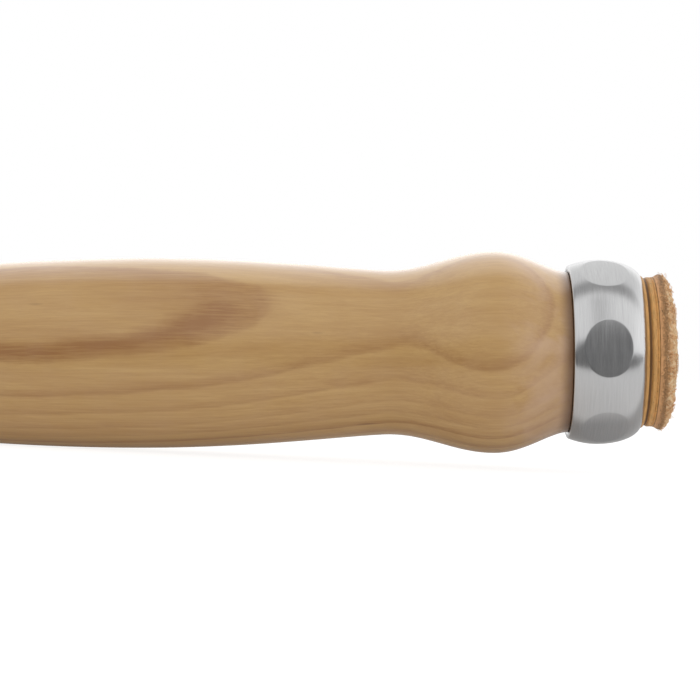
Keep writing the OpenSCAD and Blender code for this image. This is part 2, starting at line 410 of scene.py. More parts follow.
# %% Shader helpers
def new_group(name, inputs, outputs):
    """A shader node group with number and vector inputs, and number, colour or vector outputs."""
    tree = bpy.data.node_groups.new(name, "ShaderNodeTree")
    kinds = {"point": "NodeSocketVector", "value": "NodeSocketFloat", "colour": "NodeSocketColor"}
    for label, kind, start in inputs:
        socket = tree.interface.new_socket(label, in_out="INPUT", socket_type=kinds[kind])
        if start is not None:
            socket.default_value = start
    for label, kind in outputs:
        tree.interface.new_socket(label, in_out="OUTPUT", socket_type=kinds[kind])
    return tree, tree.nodes.new("NodeGroupInput").outputs, tree.nodes.new("NodeGroupOutput").inputs


def place_group(tree, group, **values):
    """Places a group. An input's name is written with underscores for its spaces."""
    node = tree.nodes.new("ShaderNodeGroup")
    node.node_tree = group
    for label, value in values.items():
        value_into(tree, node.inputs[label.replace("_", " ")], value)
    return node.outputs


# %% Noise, ranges, ramps and mixes
def noise_at(tree, point, scale=1.0, detail=2.0, roughness=0.5, distortion=0.0):
    node = tree.nodes.new("ShaderNodeTexNoise")
    for label, value in (("Vector", point), ("Scale", scale), ("Detail", detail),
                         ("Roughness", roughness), ("Distortion", distortion)):
        value_into(tree, node.inputs[label], value)
    return node.outputs["Fac"]


def range_of(tree, value, low, high, to_low=0.0, to_high=1.0, soft=False):
    node = tree.nodes.new("ShaderNodeMapRange")
    node.interpolation_type = "SMOOTHSTEP" if soft else "LINEAR"
    for socket, number in zip(node.inputs, (value, low, high, to_low, to_high)):
        value_into(tree, socket, number)
    return node.outputs[0]


def ramp_of(tree, value, stops, ease=False):
    """Colour ramp. Each stop is a place and a colour, or a place and a number for a grey."""
    node = tree.nodes.new("ShaderNodeValToRGB")
    ramp = node.color_ramp
    ramp.interpolation = "EASE" if ease else "LINEAR"
    while len(ramp.elements) < len(stops):
        ramp.elements.new(1.0)
    for element, (place, colour) in zip(ramp.elements, stops):
        element.position = place
        element.color = (*colour, 1) if isinstance(colour, tuple) else (colour, colour, colour, 1)
    value_into(tree, node.inputs[0], value)
    return node.outputs[0]


def mix_of(tree, share, a, b, mode="MIX"):
    """Mixes two colours. Each may be a socket or a tuple of three numbers."""
    node = tree.nodes.new("ShaderNodeMix")
    node.data_type = "RGBA"
    node.blend_type = mode
    for socket, value in ((node.inputs["Factor"], share), (node.inputs[6], a), (node.inputs[7], b)):
        value_into(tree, socket, (*value, 1) if isinstance(value, tuple) else value)
    return node.outputs[2]


# %% The start and the end of a material
def in_millimetres(tree):
    """The point being shaded, in the tool's own frame, in millimetres."""
    spot = tree.nodes.new("ShaderNodeTexCoord").outputs["Object"]
    scale = tree.nodes.new("ShaderNodeVectorMath")
    scale.operation = "SCALE"
    link(tree, spot, scale.inputs[0])
    scale.inputs["Scale"].default_value = 1 / MM
    return scale.outputs[0]


def new_material(name):
    material = bpy.data.materials.new(name)
    material.use_nodes = True
    return material, material.node_tree, material.node_tree.nodes["Principled BSDF"].inputs


def relief(tree, shader, layers):
    """Chains bumps, coarse ones first. A layer is a height socket and its depth in millimetres."""
    normal = None
    for height, depth in layers:
        node = tree.nodes.new("ShaderNodeBump")
        node.inputs["Distance"].default_value = depth * MM
        link(tree, height, node.inputs["Height"])
        if normal is not None:
            link(tree, normal, node.inputs["Normal"])
        normal = node.outputs[0]
    link(tree, normal, shader["Normal"])


# %% [markdown]
# ## Four shared effects
#
# - **Lathe lines** run round the axis. A brush or an abrasive held against a spinning piece
#   leaves them: very fine along the axis, and long round the circle. The pattern is read at
#   (x, direction from the axis), so it has no seam.
# - **Fibres** run along the tool: wood fibres, and the long scratches of a belt on a blade.
# - **Patches** are wide, soft differences: handling, uneven oil, uneven heat.
# - **Specks** are scattered small spots: pores, dirt and dents.

# %% Lathe lines and fibres
def make_lathe_lines():
    tree, source, result = new_group(
        "lathe lines",
        [("Point", "point", None), ("Lines per mm", "value", 4.0), ("Length", "value", 3.0)],
        [("Lines", "value"), ("Bands", "value")])
    x, y, z = split(tree, source["Point"])
    outward = vector_node(tree, "NORMALIZE", join(tree, 0.0, y, z))
    _, side, up = split(tree, outward)
    shorter = math_node(tree, "DIVIDE", 12.0, source["Length"])
    around = [math_node(tree, "MULTIPLY", value, shorter) for value in (side, up)]
    fine = join(tree, math_node(tree, "MULTIPLY", x, source["Lines per mm"]), *around)
    wide = join(tree, math_node(tree, "MULTIPLY", x, 0.9), *around)
    link(tree, noise_at(tree, fine, detail=4.0, roughness=0.7), result["Lines"])
    link(tree, noise_at(tree, wide, detail=2.0), result["Bands"])
    return tree


def make_fibres():
    tree, source, result = new_group(
        "fibres",
        [("Point", "point", None), ("Length", "value", 12.0), ("Width", "value", 0.3)],
        [("Fibres", "value")])
    x, y, z = split(tree, source["Point"])
    narrow = [math_node(tree, "DIVIDE", value, source["Width"]) for value in (y, z)]
    spot = join(tree, math_node(tree, "DIVIDE", x, source["Length"]), *narrow)
    link(tree, noise_at(tree, spot, detail=5.0, roughness=0.65, distortion=0.4), result["Fibres"])
    return tree


# %% Patches and specks
def make_patches():
    tree, source, result = new_group(
        "patches",
        [("Point", "point", None), ("Size", "value", 10.0), ("Contrast", "value", 1.0)],
        [("Patches", "value")])
    spot = vector_node(tree, "DIVIDE", source["Point"], join(tree, *[source["Size"]] * 3))
    grey = noise_at(tree, spot, detail=3.0, roughness=0.55, distortion=0.6)
    centred = math_node(tree, "MULTIPLY", math_node(tree, "SUBTRACT", grey, 0.5), source["Contrast"])
    link(tree, math_node(tree, "ADD", centred, 0.5), result["Patches"])
    return tree


def make_specks():
    tree, source, result = new_group(
        "specks",
        [("Point", "point", None), ("Spacing", "value", 2.0), ("Stretch", "value", 1.0),
         ("Size", "value", 0.2)],
        [("Specks", "value")])
    x, y, z = split(tree, source["Point"])
    spot = join(tree, math_node(tree, "DIVIDE", x, source["Stretch"]), y, z)
    spot = vector_node(tree, "DIVIDE", spot, join(tree, *[source["Spacing"]] * 3))
    cells = tree.nodes.new("ShaderNodeTexVoronoi")
    link(tree, spot, cells.inputs["Vector"])
    cells.inputs["Scale"].default_value = 1.0
    reach = math_node(tree, "DIVIDE", source["Size"], source["Spacing"])
    dot = range_of(tree, cells.outputs["Distance"], math_node(tree, "MULTIPLY", reach, 0.4), reach,
                   1.0, 0.0, soft=True)
    chosen = range_of(tree, cells.outputs["Color"], 0.45, 0.65)
    link(tree, math_node(tree, "MULTIPLY", dot, chosen), result["Specks"])
    return tree


lathe_lines = make_lathe_lines()
fibres = make_fibres()
patches = make_patches()
specks = make_specks()
print("shared effects:", ", ".join(g.name for g in (lathe_lines, fibres, patches, specks)))

# %% [markdown]
# ## The wood
#
# The grip is turned from a blank that was sawn close to the outside of a pale fruitwood log. Its
# year rings are large circles, so where the turning cuts deeper into them they show as tongues and
# humps on the surface, and as nearly straight lines below. That can't be painted on as a flat
# picture: the rings are a solid pattern that the turned surface cuts through. So the material
# works out, for each point, how far it lies out from the log's middle, and reads a colour ramp
# with that distance.
#
# The log's middle is a line below the grip on the far side. The rings climb a little along the
# tool, because the tree tapered. `ring_marks` gives, for each ring, where its dark late wood
# starts at a sharp line, how dark it is and how many millimetres it takes to fade. A ramp holds 32
# stops, so ten rings with three stops each are as many as one ramp can carry, and they are the ones
# that this grip cuts. Beside one of them lies a brown streak, which is stronger low on the tool.

# %% The year rings
# All sizes here are in millimetres. A ring's place is counted outwards from the tool's axis.
log_radius = 60.0                      # from the log's middle to the tool's axis
ridge_turn = math.radians(31)          # the rings are nearest on this side, up from -Y
ring_climb = 0.053                     # how fast the rings drop along the tool
ring_zero = -133.8                     # place along the axis where the climb is counted from
ring_low, ring_high = -30.0, 22.0      # innermost and outermost place on the colour ramp
even_below = -18.5                     # further in than this the wood keeps one tone
ring_marks = [(-15.0, 0.50, 2.0), (-10.0, 0.55, 2.0), (-5.5, 0.55, 1.8), (-1.4, 0.75, 1.2),
              (1.7, 0.35, 1.2), (4.3, 0.32, 1.4), (7.7, 0.42, 1.5), (11.1, 0.60, 1.1),
              (15.35, 0.66, 2.4), (18.4, 0.30, 1.0)]
early_tone, faded_tone = 0.02, 0.16    # just before a dark line, and once the line has faded
line_before, line_after = 0.312, 0.052    # how sharply a line starts
streak_at, streak_half = 16.3, 0.9     # place of the streak's middle, and half its width
streak_strength = 0.58
streak_low, streak_high = 7.0, 14.0    # heights: full strength below, and faint above


def ring_depth(tree, point):
    """How far the point lies out from the log's middle, less the log radius, in millimetres."""
    x, y, z = split(tree, point)
    toward = math_node(tree, "ADD", math_node(tree, "MULTIPLY", y, -math.cos(ridge_turn)),
                       math_node(tree, "MULTIPLY", z, math.sin(ridge_turn)))
    beside = math_node(tree, "ADD", math_node(tree, "MULTIPLY", y, math.sin(ridge_turn)),
                       math_node(tree, "MULTIPLY", z, math.cos(ridge_turn)))
    outwards = vector_node(tree, "LENGTH", join(tree, math_node(tree, "ADD", toward, log_radius),
                                                beside, 0.0))
    climb = math_node(tree, "MULTIPLY", math_node(tree, "SUBTRACT", x, ring_zero), ring_climb)
    return math_node(tree, "SUBTRACT", math_node(tree, "SUBTRACT", outwards, log_radius), climb)


def warped(tree, point):
    """Rings are never true circles: a slow drift and a smaller ripple push them about."""
    drift = place_group(tree, patches, Point=point, Size=26.0, Contrast=1.0)["Patches"]
    ripple = place_group(tree, patches, Point=point, Size=7.0, Contrast=1.0)["Patches"]
    return math_node(tree, "ADD",
                     math_node(tree, "MULTIPLY", math_node(tree, "SUBTRACT", drift, 0.5), 1.3),
                     math_node(tree, "MULTIPLY", math_node(tree, "SUBTRACT", ripple, 0.5), 0.5))


def late_wood_of(tree, depth):
    """How dark the late wood is: lines that start sharply and fade outwards."""
    span = ring_high - ring_low
    stops = [((even_below - ring_low) / span, faded_tone)]
    for mark, strength, fading in ring_marks:
        at = mark - ring_low
        stops += [((at - line_before) / span, early_tone), ((at + line_after) / span, strength),
                  ((at + fading) / span, faded_tone)]
    return ramp_of(tree, range_of(tree, depth, ring_low, ring_high), stops)


def streak_of(tree, depth, height):
    """The brown streak beside one ring. It is faint on the upper side of the tool."""
    off = math_node(tree, "ABSOLUTE", math_node(tree, "SUBTRACT", depth, streak_at))
    inside = math_node(tree, "SUBTRACT", 1.0, math_node(tree, "DIVIDE", off, streak_half))
    return math_node(tree, "MULTIPLY",
                     range_of(tree, inside, 0.0, 1.0, 0.0, streak_strength, soft=True),
                     range_of(tree, height, streak_high, streak_low, 0.1, 1.0, soft=True))


print(len(ring_marks), "rings, from", ring_marks[0][0], "to", ring_marks[-1][0], "mm")

# %% [markdown]
# Over the rings lie the small things, from wide to fine: a slow change between straw and pale
# wood, brown fibre streaks, dark hairs, pores, and a milky bloom where the lacquer lies thick over
# the bulb. Against the hoop there is a dark band of painted shade, where the hoop shades the wood,
# over a dark glue line. The lacquer is the shader's coat, over wood that is rough itself.

# %% Lacquered wood
pale, straw, brown = (0.62, 0.385, 0.140), (0.53, 0.305, 0.098), (0.34, 0.150, 0.040)
hair_tone, fleck_tone = (0.26, 0.13, 0.05), (0.16, 0.075, 0.03)
bloom_tone = (0.60, 0.385, 0.245)
bloom_from, bloom_full = -36.0, -26.0     # places along the axis, in millimetres
# painted shade of the hoop on the wood, over a dark glue line
hoop_shade_tone = (0.15, 0.062, 0.022)
hoop_shade_width = 3.0                        # how far the painted shade of the hoop reaches along the wood


def wood_colour(tree, point, streaks, hairs):
    x, _, height = split(tree, point)
    depth = math_node(tree, "ADD", ring_depth(tree, point), warped(tree, point))
    late_wood = math_node(tree, "ADD", late_wood_of(tree, depth), streak_of(tree, depth, height))
    darkness = math_node(tree, "MULTIPLY", late_wood, range_of(tree, streaks, 0.3, 0.7, 0.55, 1.25))
    figure = place_group(tree, fibres, Point=point, Length=46.0, Width=3.4)["Fibres"]
    colour = mix_of(tree, range_of(tree, figure, 0.35, 0.65), straw, pale)
    colour = mix_of(tree, darkness, colour, brown)
    colour = mix_of(tree, range_of(tree, streaks, 0.36, 0.70, 0.0, 0.20), colour, brown)
    colour = mix_of(tree, range_of(tree, hairs, 0.50, 0.75, 0.0, 0.18), colour, hair_tone)

    bloom = place_group(tree, patches, Point=point, Size=9.0, Contrast=1.6)["Patches"]
    near_hoop = range_of(tree, x, bloom_from, bloom_full, 0.12, 1.0, soft=True)
    bloom = math_node(tree, "MULTIPLY", range_of(tree, bloom, 0.30, 0.80, 0.10, 0.85), near_hoop)
    colour = mix_of(tree, bloom, colour, bloom_tone)
    flecks = place_group(tree, specks, Point=point, Spacing=7.0, Stretch=5.0, Size=0.55)["Specks"]
    colour = mix_of(tree, math_node(tree, "MULTIPLY", flecks, 0.5), colour, fleck_tone)
    # Painted shade: the wood darkens towards the hoop, where the hoop shades it, over a dark glue line.
    corner = grip_back / MM
    dirt_and_painted_shade = range_of(tree, x, corner - hoop_shade_width, corner - 0.1, 0.0, 0.80, soft=True)
    return mix_of(tree, dirt_and_painted_shade, colour, hoop_shade_tone)


def make_wood():
    material, tree, shader = new_material("lacquered wood")
    point = in_millimetres(tree)
    streaks = place_group(tree, fibres, Point=point, Length=14.0, Width=0.42)["Fibres"]
    hairs = place_group(tree, fibres, Point=point, Length=3.2, Width=0.10)["Fibres"]
    link(tree, wood_colour(tree, point, streaks, hairs), shader["Base Color"])
    shader["Roughness"].default_value = 0.55
    shader["Specular IOR Level"].default_value = 0.35
    wear = place_group(tree, patches, Point=point, Size=16.0, Contrast=1.2)["Patches"]
    link(tree, range_of(tree, wear, 0.3, 0.7, 0.85, 1.0), shader["Coat Weight"])
    shader["Coat Roughness"].default_value = 0.22
    shader["Coat IOR"].default_value = 1.5
    relief(tree, shader, [(streaks, 0.012), (hairs, 0.008)])
    return material


wood = make_wood()
print("wood:", len(wood.node_tree.nodes), "nodes")

# %% [markdown]
# ## The steels
#
# Three pieces are steel, and each has been worked another way. The hoop and the ferrule were
# brushed while they turned, so their lines run round them. The flats on the hoop were ground
# afterwards across those lines. The blade was forged, then ground lengthwise on a belt, and its
# bevel was ground last and is the brightest part.
#
# One function makes the turned steels. The lines go into the roughness and the height as well as
# the colour, because brushed steel is mostly seen by how unevenly it shines.

# %% Brushed steel
def make_turned_steel(name, tone, roughness, lines_per_mm, line_depth):
    material, tree, shader = new_material(name)
    point = in_millimetres(tree)
    marks = place_group(tree, lathe_lines, Point=point, Lines_per_mm=lines_per_mm, Length=4.0)
    smudge = place_group(tree, patches, Point=point, Size=6.0, Contrast=1.0)["Patches"]
    pits = place_group(tree, specks, Point=point, Spacing=2.2, Stretch=1.0, Size=0.09)["Specks"]
    dark = tuple(c * 0.90 for c in tone)
    bright = tuple(min(1.0, c * 1.06) for c in tone)
    colour = mix_of(tree, range_of(tree, marks["Lines"], 0.30, 0.70), dark, bright)
    colour = mix_of(tree, range_of(tree, smudge, 0.35, 0.75, 0.0, 0.14), colour, dark)
    colour = mix_of(tree, math_node(tree, "MULTIPLY", pits, 0.35), colour, (0.12, 0.12, 0.12))
    link(tree, colour, shader["Base Color"])
    shader["Metallic"].default_value = 1.0
    uneven = range_of(tree, marks["Lines"], 0.3, 0.7, roughness * 0.86, roughness * 1.16)
    blotch = range_of(tree, marks["Bands"], 0.35, 0.65, -0.02, 0.03)
    link(tree, math_node(tree, "ADD", uneven, blotch), shader["Roughness"])
    relief(tree, shader, [(marks["Lines"], line_depth)])
    return material


hoop_steel = make_turned_steel("hoop steel", (0.60, 0.60, 0.602), 0.19, 7.0, 0.004)
ferrule_steel = make_turned_steel("ferrule steel", (0.58, 0.58, 0.59), 0.26, 6.5, 0.008)
print("turned steels:", hoop_steel.name, "and", ferrule_steel.name)

# %% [markdown]
# ## The grip
#
# The grip is turned from one blank: a spigot for the ferrule, a long barrel that fills the palm, a
# waist for the thumb and first finger, a bulb, then a seat for the hoop and a tenon for the
# washers. All of the curved part is read off the CAD solid. The hidden seats take their sizes from
# the same solid, so the pieces that sit on them still fit.

# %% Turn the grip
spigot_front, tenon_end = ends("grip")
pad_back = pad_backs[0]
fit = 0.05 * MM
seat_radius = bore("striking_hoop") - fit
tenon_radius = bore("inner_pad_washer") - fit
spigot_radius = bore("ferrule") - fit

places, radii = outer_radius("grip")
turned_part = (places >= grip_front - 1e-6) & (places <= grip_back + 1e-6) & (radii > seat_radius)
places, radii = places[turned_part], radii[turned_part]
front_edge = places < grip_front + 2 * MM
fine = np.linspace(places[~front_edge][0], grip_back, 280)
curve = list(zip(fine, smooth_through(places[~front_edge], radii[~front_edge], fine)))
shoulder = list(zip(places[front_edge], radii[front_edge]))

tail_softness = 0.6 * MM
grip_outline = ([(spigot_front, 0.0), (spigot_front, spigot_radius), (grip_front, spigot_radius)]
                + shoulder + curve[:-1]
                + rounded([curve[-2], curve[-1], (grip_back, seat_radius)], tail_softness)[1:-1]
                + [(grip_back, seat_radius), (pad_back, seat_radius), (pad_back, tenon_radius)]
                + rounded([(tenon_end - 1 * MM, tenon_radius), (tenon_end, tenon_radius),
                           (tenon_end, 0.0)], 0.4 * MM))
grip = turn_piece("grip_turned", grip_outline, wood, steps_round=200)
grip.data.set_sharp_from_angle(angle=math.radians(40))
hand_over(grip, "grip")
print(f"widest {2 * radii.max() / MM:.1f} mm, {len(places)} readings")

# %% [markdown]
# ## The striking hoop
#
# The hoop was turned to a barrel shape with a rounded nose, parted off with a small chamfer at the
# back, and brushed. Six flats were then ground round its crown. A boolean would cut them sharply,
# but the real ones come off a slack belt and are slightly domed, so the lathe tree makes them: they
# are just another radius round the circle.

# %% Turn the hoop
crown_ahead = 5.9 * MM          # from the hoop's back edge to its crown
back_fall = 1.15 * MM           # how far the crown falls to the back edge
nose_fall = 3.7 * MM            # and to the tip of the nose
chamfer = 0.35 * MM
flat_reach = 17.75 * MM         # middle of a flat, from the axis
flat_truth = 0.86
flat_lean = 0.04
flat_turn = math.radians(2.6)

hoop_radius = reach("striking_hoop")
hoop_bore = bore("striking_hoop")
crown = grip_back + crown_ahead
nose_length = hoop_front - crown
back_curve = [(crown - crown_ahead * t, hoop_radius - back_fall * t * t)
              for t in np.linspace(1, 0, 40)]
nose_curve = [(crown + nose_length * math.sin(a), hoop_radius - nose_fall * (1 - math.cos(a)))
              for a in np.linspace(0, math.pi / 2, 60)[1:]]
nose_curve = [p for p in nose_curve if p[1] > hoop_bore + 0.1 * MM]
back_edge = rounded([(grip_back, hoop_bore), (grip_back, back_curve[0][1]), back_curve[3]],
                    chamfer)
nose_tip = nose_curve[-1][0]
hoop_outline = ([(nose_tip - 0.6 * MM, hoop_bore), (grip_back, hoop_bore)] + back_edge[1:-1]
                + back_curve[3:] + nose_curve
                + [(nose_tip + 0.02 * MM, hoop_bore + 0.04 * MM), (nose_tip - 0.04 * MM, hoop_bore),
                   (nose_tip - 0.6 * MM, hoop_bore)])
six_flats = {"Flats": 6, "Flat Distance": flat_reach, "Flat Truth": flat_truth,
             "Flat Lean": flat_lean, "Lean From": crown, "Flat Turn": flat_turn,
             "Edge Softness": 0.02 * MM}
hoop = turn_piece("hoop_brushed", hoop_outline, hoop_steel, steps_round=480, ground=six_flats)
hand_over(hoop, "striking_hoop")

# %% [markdown]
# ## The leathers
#
# The pad is sole leather in three states. The inner and middle washers show a cut edge: layers of
# fibre packed across the thickness, burnished shiny by handling, with dirt in the grooves between
# them. The outer washer has been beaten. Its smooth rear part is darker, and towards the strike
# face it has spread, split and frayed into pale dry fibres. The buffer at the bolster is clean oiled
# leather. One function makes all of them from named amounts, so they stay one family.

# %% Leather and its dirt
def make_leather(name, tone, dry_tone, roughness, layers_per_mm, frayed=0.0, frayed_from=0.0,
                 frayed_to=1.0):
    """Leather whose layers lie across the tool's axis. Fraying grows between two places along it."""
    material, tree, shader = new_material(name)
    point = in_millimetres(tree)
    x, _, _ = split(tree, point)
    layers = place_group(tree, lathe_lines, Point=point, Lines_per_mm=layers_per_mm, Length=1.6)
    patch = place_group(tree, patches, Point=point, Size=5.0, Contrast=1.3)["Patches"]
    grain = noise_at(tree, point, scale=2.6, detail=5.0, roughness=0.7)
    pores = place_group(tree, specks, Point=point, Spacing=0.7, Stretch=1.0, Size=0.16)["Specks"]

    dark = tuple(c * 0.66 for c in tone)
    colour = mix_of(tree, range_of(tree, layers["Lines"], 0.30, 0.62), dark, tone)
    colour = mix_of(tree, range_of(tree, patch, 0.40, 0.8, 0.0, 0.40), colour, dark)
    colour = mix_of(tree, math_node(tree, "MULTIPLY", pores, 0.55), colour, (0.09, 0.04, 0.015))
    rough = range_of(tree, grain, 0.3, 0.7, roughness - 0.07, roughness + 0.09)
    heights = [(grain, 0.10), (layers["Lines"], 0.12)]
    if frayed:
        where = math_node(tree, "ADD", x, range_of(tree, grain, 0.3, 0.7, -0.7, 0.7))
        share = range_of(tree, where, frayed_from, frayed_to, 0.0, frayed, soft=True)
        tufts = noise_at(tree, vector_node(tree, "MULTIPLY", point, (0.8, 1.0, 1.0)), scale=1.1,
                         detail=7.0, roughness=0.72, distortion=1.0)
        paler = range_of(tree, x, frayed_from + 0.6, frayed_to + 0.5, -0.05, 0.12)
        shade = ramp_of(tree, math_node(tree, "ADD", tufts, paler), [
            (0.34, tuple(c * 0.40 for c in tone)), (0.46, tuple(c * 0.8 for c in tone)),
            (0.57, dry_tone), (0.70, (1.0, 0.78, 0.50))])
        colour = mix_of(tree, share, colour, shade)
        rough = math_node(tree, "MAXIMUM", rough, math_node(tree, "MULTIPLY", share, 0.95))
        heights += [(math_node(tree, "MULTIPLY", tufts, share), 0.5)]
    return material, tree, shader, colour, rough, heights, point


def finish_leather(parts):
    material, tree, shader, colour, rough, heights, _ = parts
    link(tree, colour, shader["Base Color"])
    link(tree, rough, shader["Roughness"])
    shader["Specular IOR Level"].default_value = 0.3
    relief(tree, shader, heights)
    return material


def add_groove_dirt(parts, places, half_width, strength=0.9):
    """Dirt that has settled round the joints at the given places along the axis, in millimetres."""
    material, tree, shader, colour, rough, heights, point = parts
    x, _, _ = split(tree, point)
    for place in places:
        away = math_node(tree, "ABSOLUTE", math_node(tree, "SUBTRACT", x, place))
        dirt_and_painted_shade = range_of(tree, away, half_width * 0.35, half_width, strength, 0.0, soft=True)
        colour = mix_of(tree, dirt_and_painted_shade, colour, (0.085, 0.036, 0.012))
    return material, tree, shader, colour, rough, heights, point


# %% Three leathers
middle_back, outer_back = [place / MM for place in pad_backs[1:]]
pad_leather = finish_leather(add_groove_dirt(
    make_leather("pad leather", (0.80, 0.43, 0.145), (0.62, 0.42, 0.24), 0.42, 2.6),
    [middle_back - 0.34], 0.40))
beaten_leather = finish_leather(add_groove_dirt(
    make_leather("beaten leather", (0.86, 0.46, 0.205), (0.90, 0.56, 0.29), 0.48, 2.0, frayed=1.0,
                 frayed_from=outer_back + 0.5, frayed_to=outer_back + 1.9),
    [outer_back - 0.05], 0.22, 0.5))
buffer_leather = finish_leather(make_leather("buffer leather", (0.36, 0.20, 0.095),
                                             (0.5, 0.3, 0.16), 0.5, 2.4))
print("leathers:", pad_leather.name, beaten_leather.name, buffer_leather.name)

# %% [markdown]
# ## The leather washers
#
# The inner and middle washers are turned outlines with soft edges. Leather is never round to a
# tenth of a millimetre, so their corners are moved a little by smooth noise. The noise works on
# real distances, and it dies out at the tenon hole.
#
# The outer washer starts the same way and then gets the damage: a ragged rim that stands out where
# the leather has split, a face that is lower where the mallet has hit most, and small torn lumps.

# %% Turn the washers
def roughened(piece, amount, grain_size, from_radius, along=0.4):
    """Moves a piece's corners by smooth noise, more round the edge than near the axis."""
    for vertex in piece.data.vertices:
        radius = math.hypot(vertex.co.y, vertex.co.z)
        share = min(1.0, max(0.0, (radius - from_radius) / (2 * MM)))
        push = noise.noise(vertex.co / grain_size) + 0.5 * noise.noise(vertex.co * 2.3 / grain_size)
        outward = Vector((0, vertex.co.y, vertex.co.z)).normalized()
        vertex.co += outward * push * amount * share
        vertex.co.x += noise.noise(vertex.co / grain_size + Vector((7, 3, 1))) * amount * along * share


hole = bore("inner_pad_washer")
inner_front, middle_front = pad_backs[1], pad_backs[2]
inner_radius, middle_radius = reach("inner_pad_washer"), reach("middle_pad_washer")
groove = 0.75 * MM
inner_points = [(inner_front, hole), (pad_back, hole)] + filled_in(rounded(
    [(pad_back, hole), (pad_back, inner_radius), (inner_front - groove, inner_radius),
     (inner_front - 0.45 * groove, inner_radius - 0.55 * MM), (inner_front, inner_radius - 0.5 * MM),
     (inner_front, hole)], 0.3 * MM, 5), 0.3 * MM)[1:]
inner_pad = turn_piece("pad_washer_inner", inner_points, pad_leather)
roughened(inner_pad, 0.05 * MM, 3 * MM, 12 * MM)
hand_over(inner_pad, "inner_pad_washer")

middle_points = [(middle_front, hole), (inner_front, hole)] + filled_in(rounded(
    [(inner_front, hole), (inner_front, middle_radius - 0.3 * MM),
     (inner_front + 0.25 * MM, middle_radius), (middle_front - 0.55 * MM, middle_radius),
     (middle_front - 0.45 * MM, middle_radius - 0.22 * MM),
     (middle_front - 0.25 * MM, middle_radius + 0.08 * MM), (middle_front, middle_radius - 0.1 * MM),
     (middle_front, hole)], 0.16 * MM, 4), 0.3 * MM)[1:]
middle_pad = turn_piece("pad_washer_middle", middle_points, pad_leather)
roughened(middle_pad, 0.06 * MM, 3 * MM, 12 * MM)
hand_over(middle_pad, "middle_pad_washer")

# %% [markdown]
# The beaten washer is turned with a fine outline, because its damage is smaller than a washer is
# thick. `spread` is the rule for its rim: it leaves the middle washer level, swells to its largest
# radius near the middle of its thickness, and rolls over to the strike face. `beaten` rules its
# damage: lumps and waves tear the rim, blows have packed the face down on all but the near side,
# and pits are torn out of it. Nothing ever rises above the strike face of the CAD model.

# %% The beaten washer
outer_front = 0.0
outer_radius_back = middle_radius
spread_radius = reach("outer_pad_washer")
outer_length = outer_front - middle_front
face_depth = 0.15 * MM
swell_share = 0.45              # share of the thickness over which the rim swells
roll_depth = 0.95 * MM


def spread(t):
    """Radius of the rim at share t of the washer's thickness."""
    swell = math.sin(math.pi / 2 * min(1.0, t / swell_share)) ** 1.6
    roll = max(0.0, (t - swell_share) / (1 - swell_share))
    return outer_radius_back + (spread_radius - outer_radius_back) * swell - roll_depth * roll ** 2.4


rim = [(middle_front + outer_length * t, spread(t)) for t in np.linspace(0, 0.97, 34)]
face = [(outer_front - face_depth * 0.3, r)
        for r in np.linspace(spread(1.0) - 0.2 * MM, hole + 0.3 * MM, 70)]
outer_points = ([(outer_front - face_depth, hole), (middle_front, hole)]
                + filled_in([(middle_front, hole), (middle_front, outer_radius_back)], 1.5 * MM)[1:-1]
                + rim + face + [(outer_front - face_depth, hole)])
outer_pad = turn_piece("pad_washer_beaten", outer_points, beaten_leather, steps_round=360)

# %% Beat it
torn_from, torn_over = 0.28, 0.5         # shares of the thickness: where tearing starts and grows
lump_height, wave_height, rim_loss = 0.36, 0.40, 0.34     # all in millimetres
packed_depth, pit_depth, face_loss = 0.75, 0.16, 0.05
tight_width = 9 * MM                     # the leather is held this far round the tenon


def beaten(spot):
    """Where a point of the fresh washer lies after years of blows."""
    x, y, z = spot
    radius = math.hypot(y, z)
    if radius < hole + 0.2 * MM:
        return Vector((min(x, outer_front - 0.02 * MM), y, z))
    outward = Vector((0, y, z)).normalized()
    torn = min(1.0, max(0.0, (x - middle_front) / outer_length - torn_from) / torn_over)
    edge = min(1.0, max(0.0, (radius - hole) / tight_width))
    in_mm = spot / MM
    lumps = noise.fractal(in_mm * 0.9, 0.6, 2.1, 5)
    waves = noise.noise(Vector((0.0, y, z)) / MM * 0.22 + Vector((4.2, 0, 0)))
    pits = max(0.0, noise.fractal(in_mm * 0.75 + Vector((9, 2, 5)), 0.6, 2.1, 4) + 0.35)
    packed = packed_depth * (1 - max(0.0, -outward.y) ** 1.2) * edge ** 3
    moved = spot + outward * edge * torn * (lump_height * lumps + wave_height * waves - rim_loss) * MM
    moved.x -= torn * (packed + pit_depth * pits + face_loss) * MM
    moved.x = min(moved.x, outer_front - 0.02 * MM)
    return moved


for vertex in outer_pad.data.vertices:
    vertex.co = beaten(vertex.co.copy())
hand_over(outer_pad, "outer_pad_washer")

# %% [markdown]
# ## Frayed fibres
#
# A mallet tears the leather's surface into a nap of short fibres, each a few hundredths of a
# millimetre thick. Bump can't show them, because they break the outline. There are thousands, so
# Geometry Nodes scatter them: points on the washer's torn part, one bent fibre per point, turned
# at random and cut to a random length. One fibre has only a few faces.
#
# Torn leather isn't an even lawn. Its fibres stand in tufts with bare, packed leather between
# them, so a smooth noise decides where they grow, and its size is an input of its own. The other
# inputs are the number of fibres, their length and thickness, and the place along the axis where
# the fraying starts. The seed is fixed, so every run gives the same nap.

# %% Parts of the fraying tree
tuft_low, tuft_high = 0.50, 0.62          # noise between bare leather and the thick of a tuft
fibre_middle, fibre_end = (0.30, 0.0, 0.65), (1.0, 0.12, 0.28)


def random_value(tree, source, extra_seed, low, high):
    node = tree.nodes.new("FunctionNodeRandomValue")
    node.data_type = "FLOAT"
    node.inputs[2].default_value = low
    node.inputs[3].default_value = high
    link(tree, math_node(tree, "ADD", source["Seed"], float(extra_seed)), node.inputs["Seed"])
    return node.outputs[1]


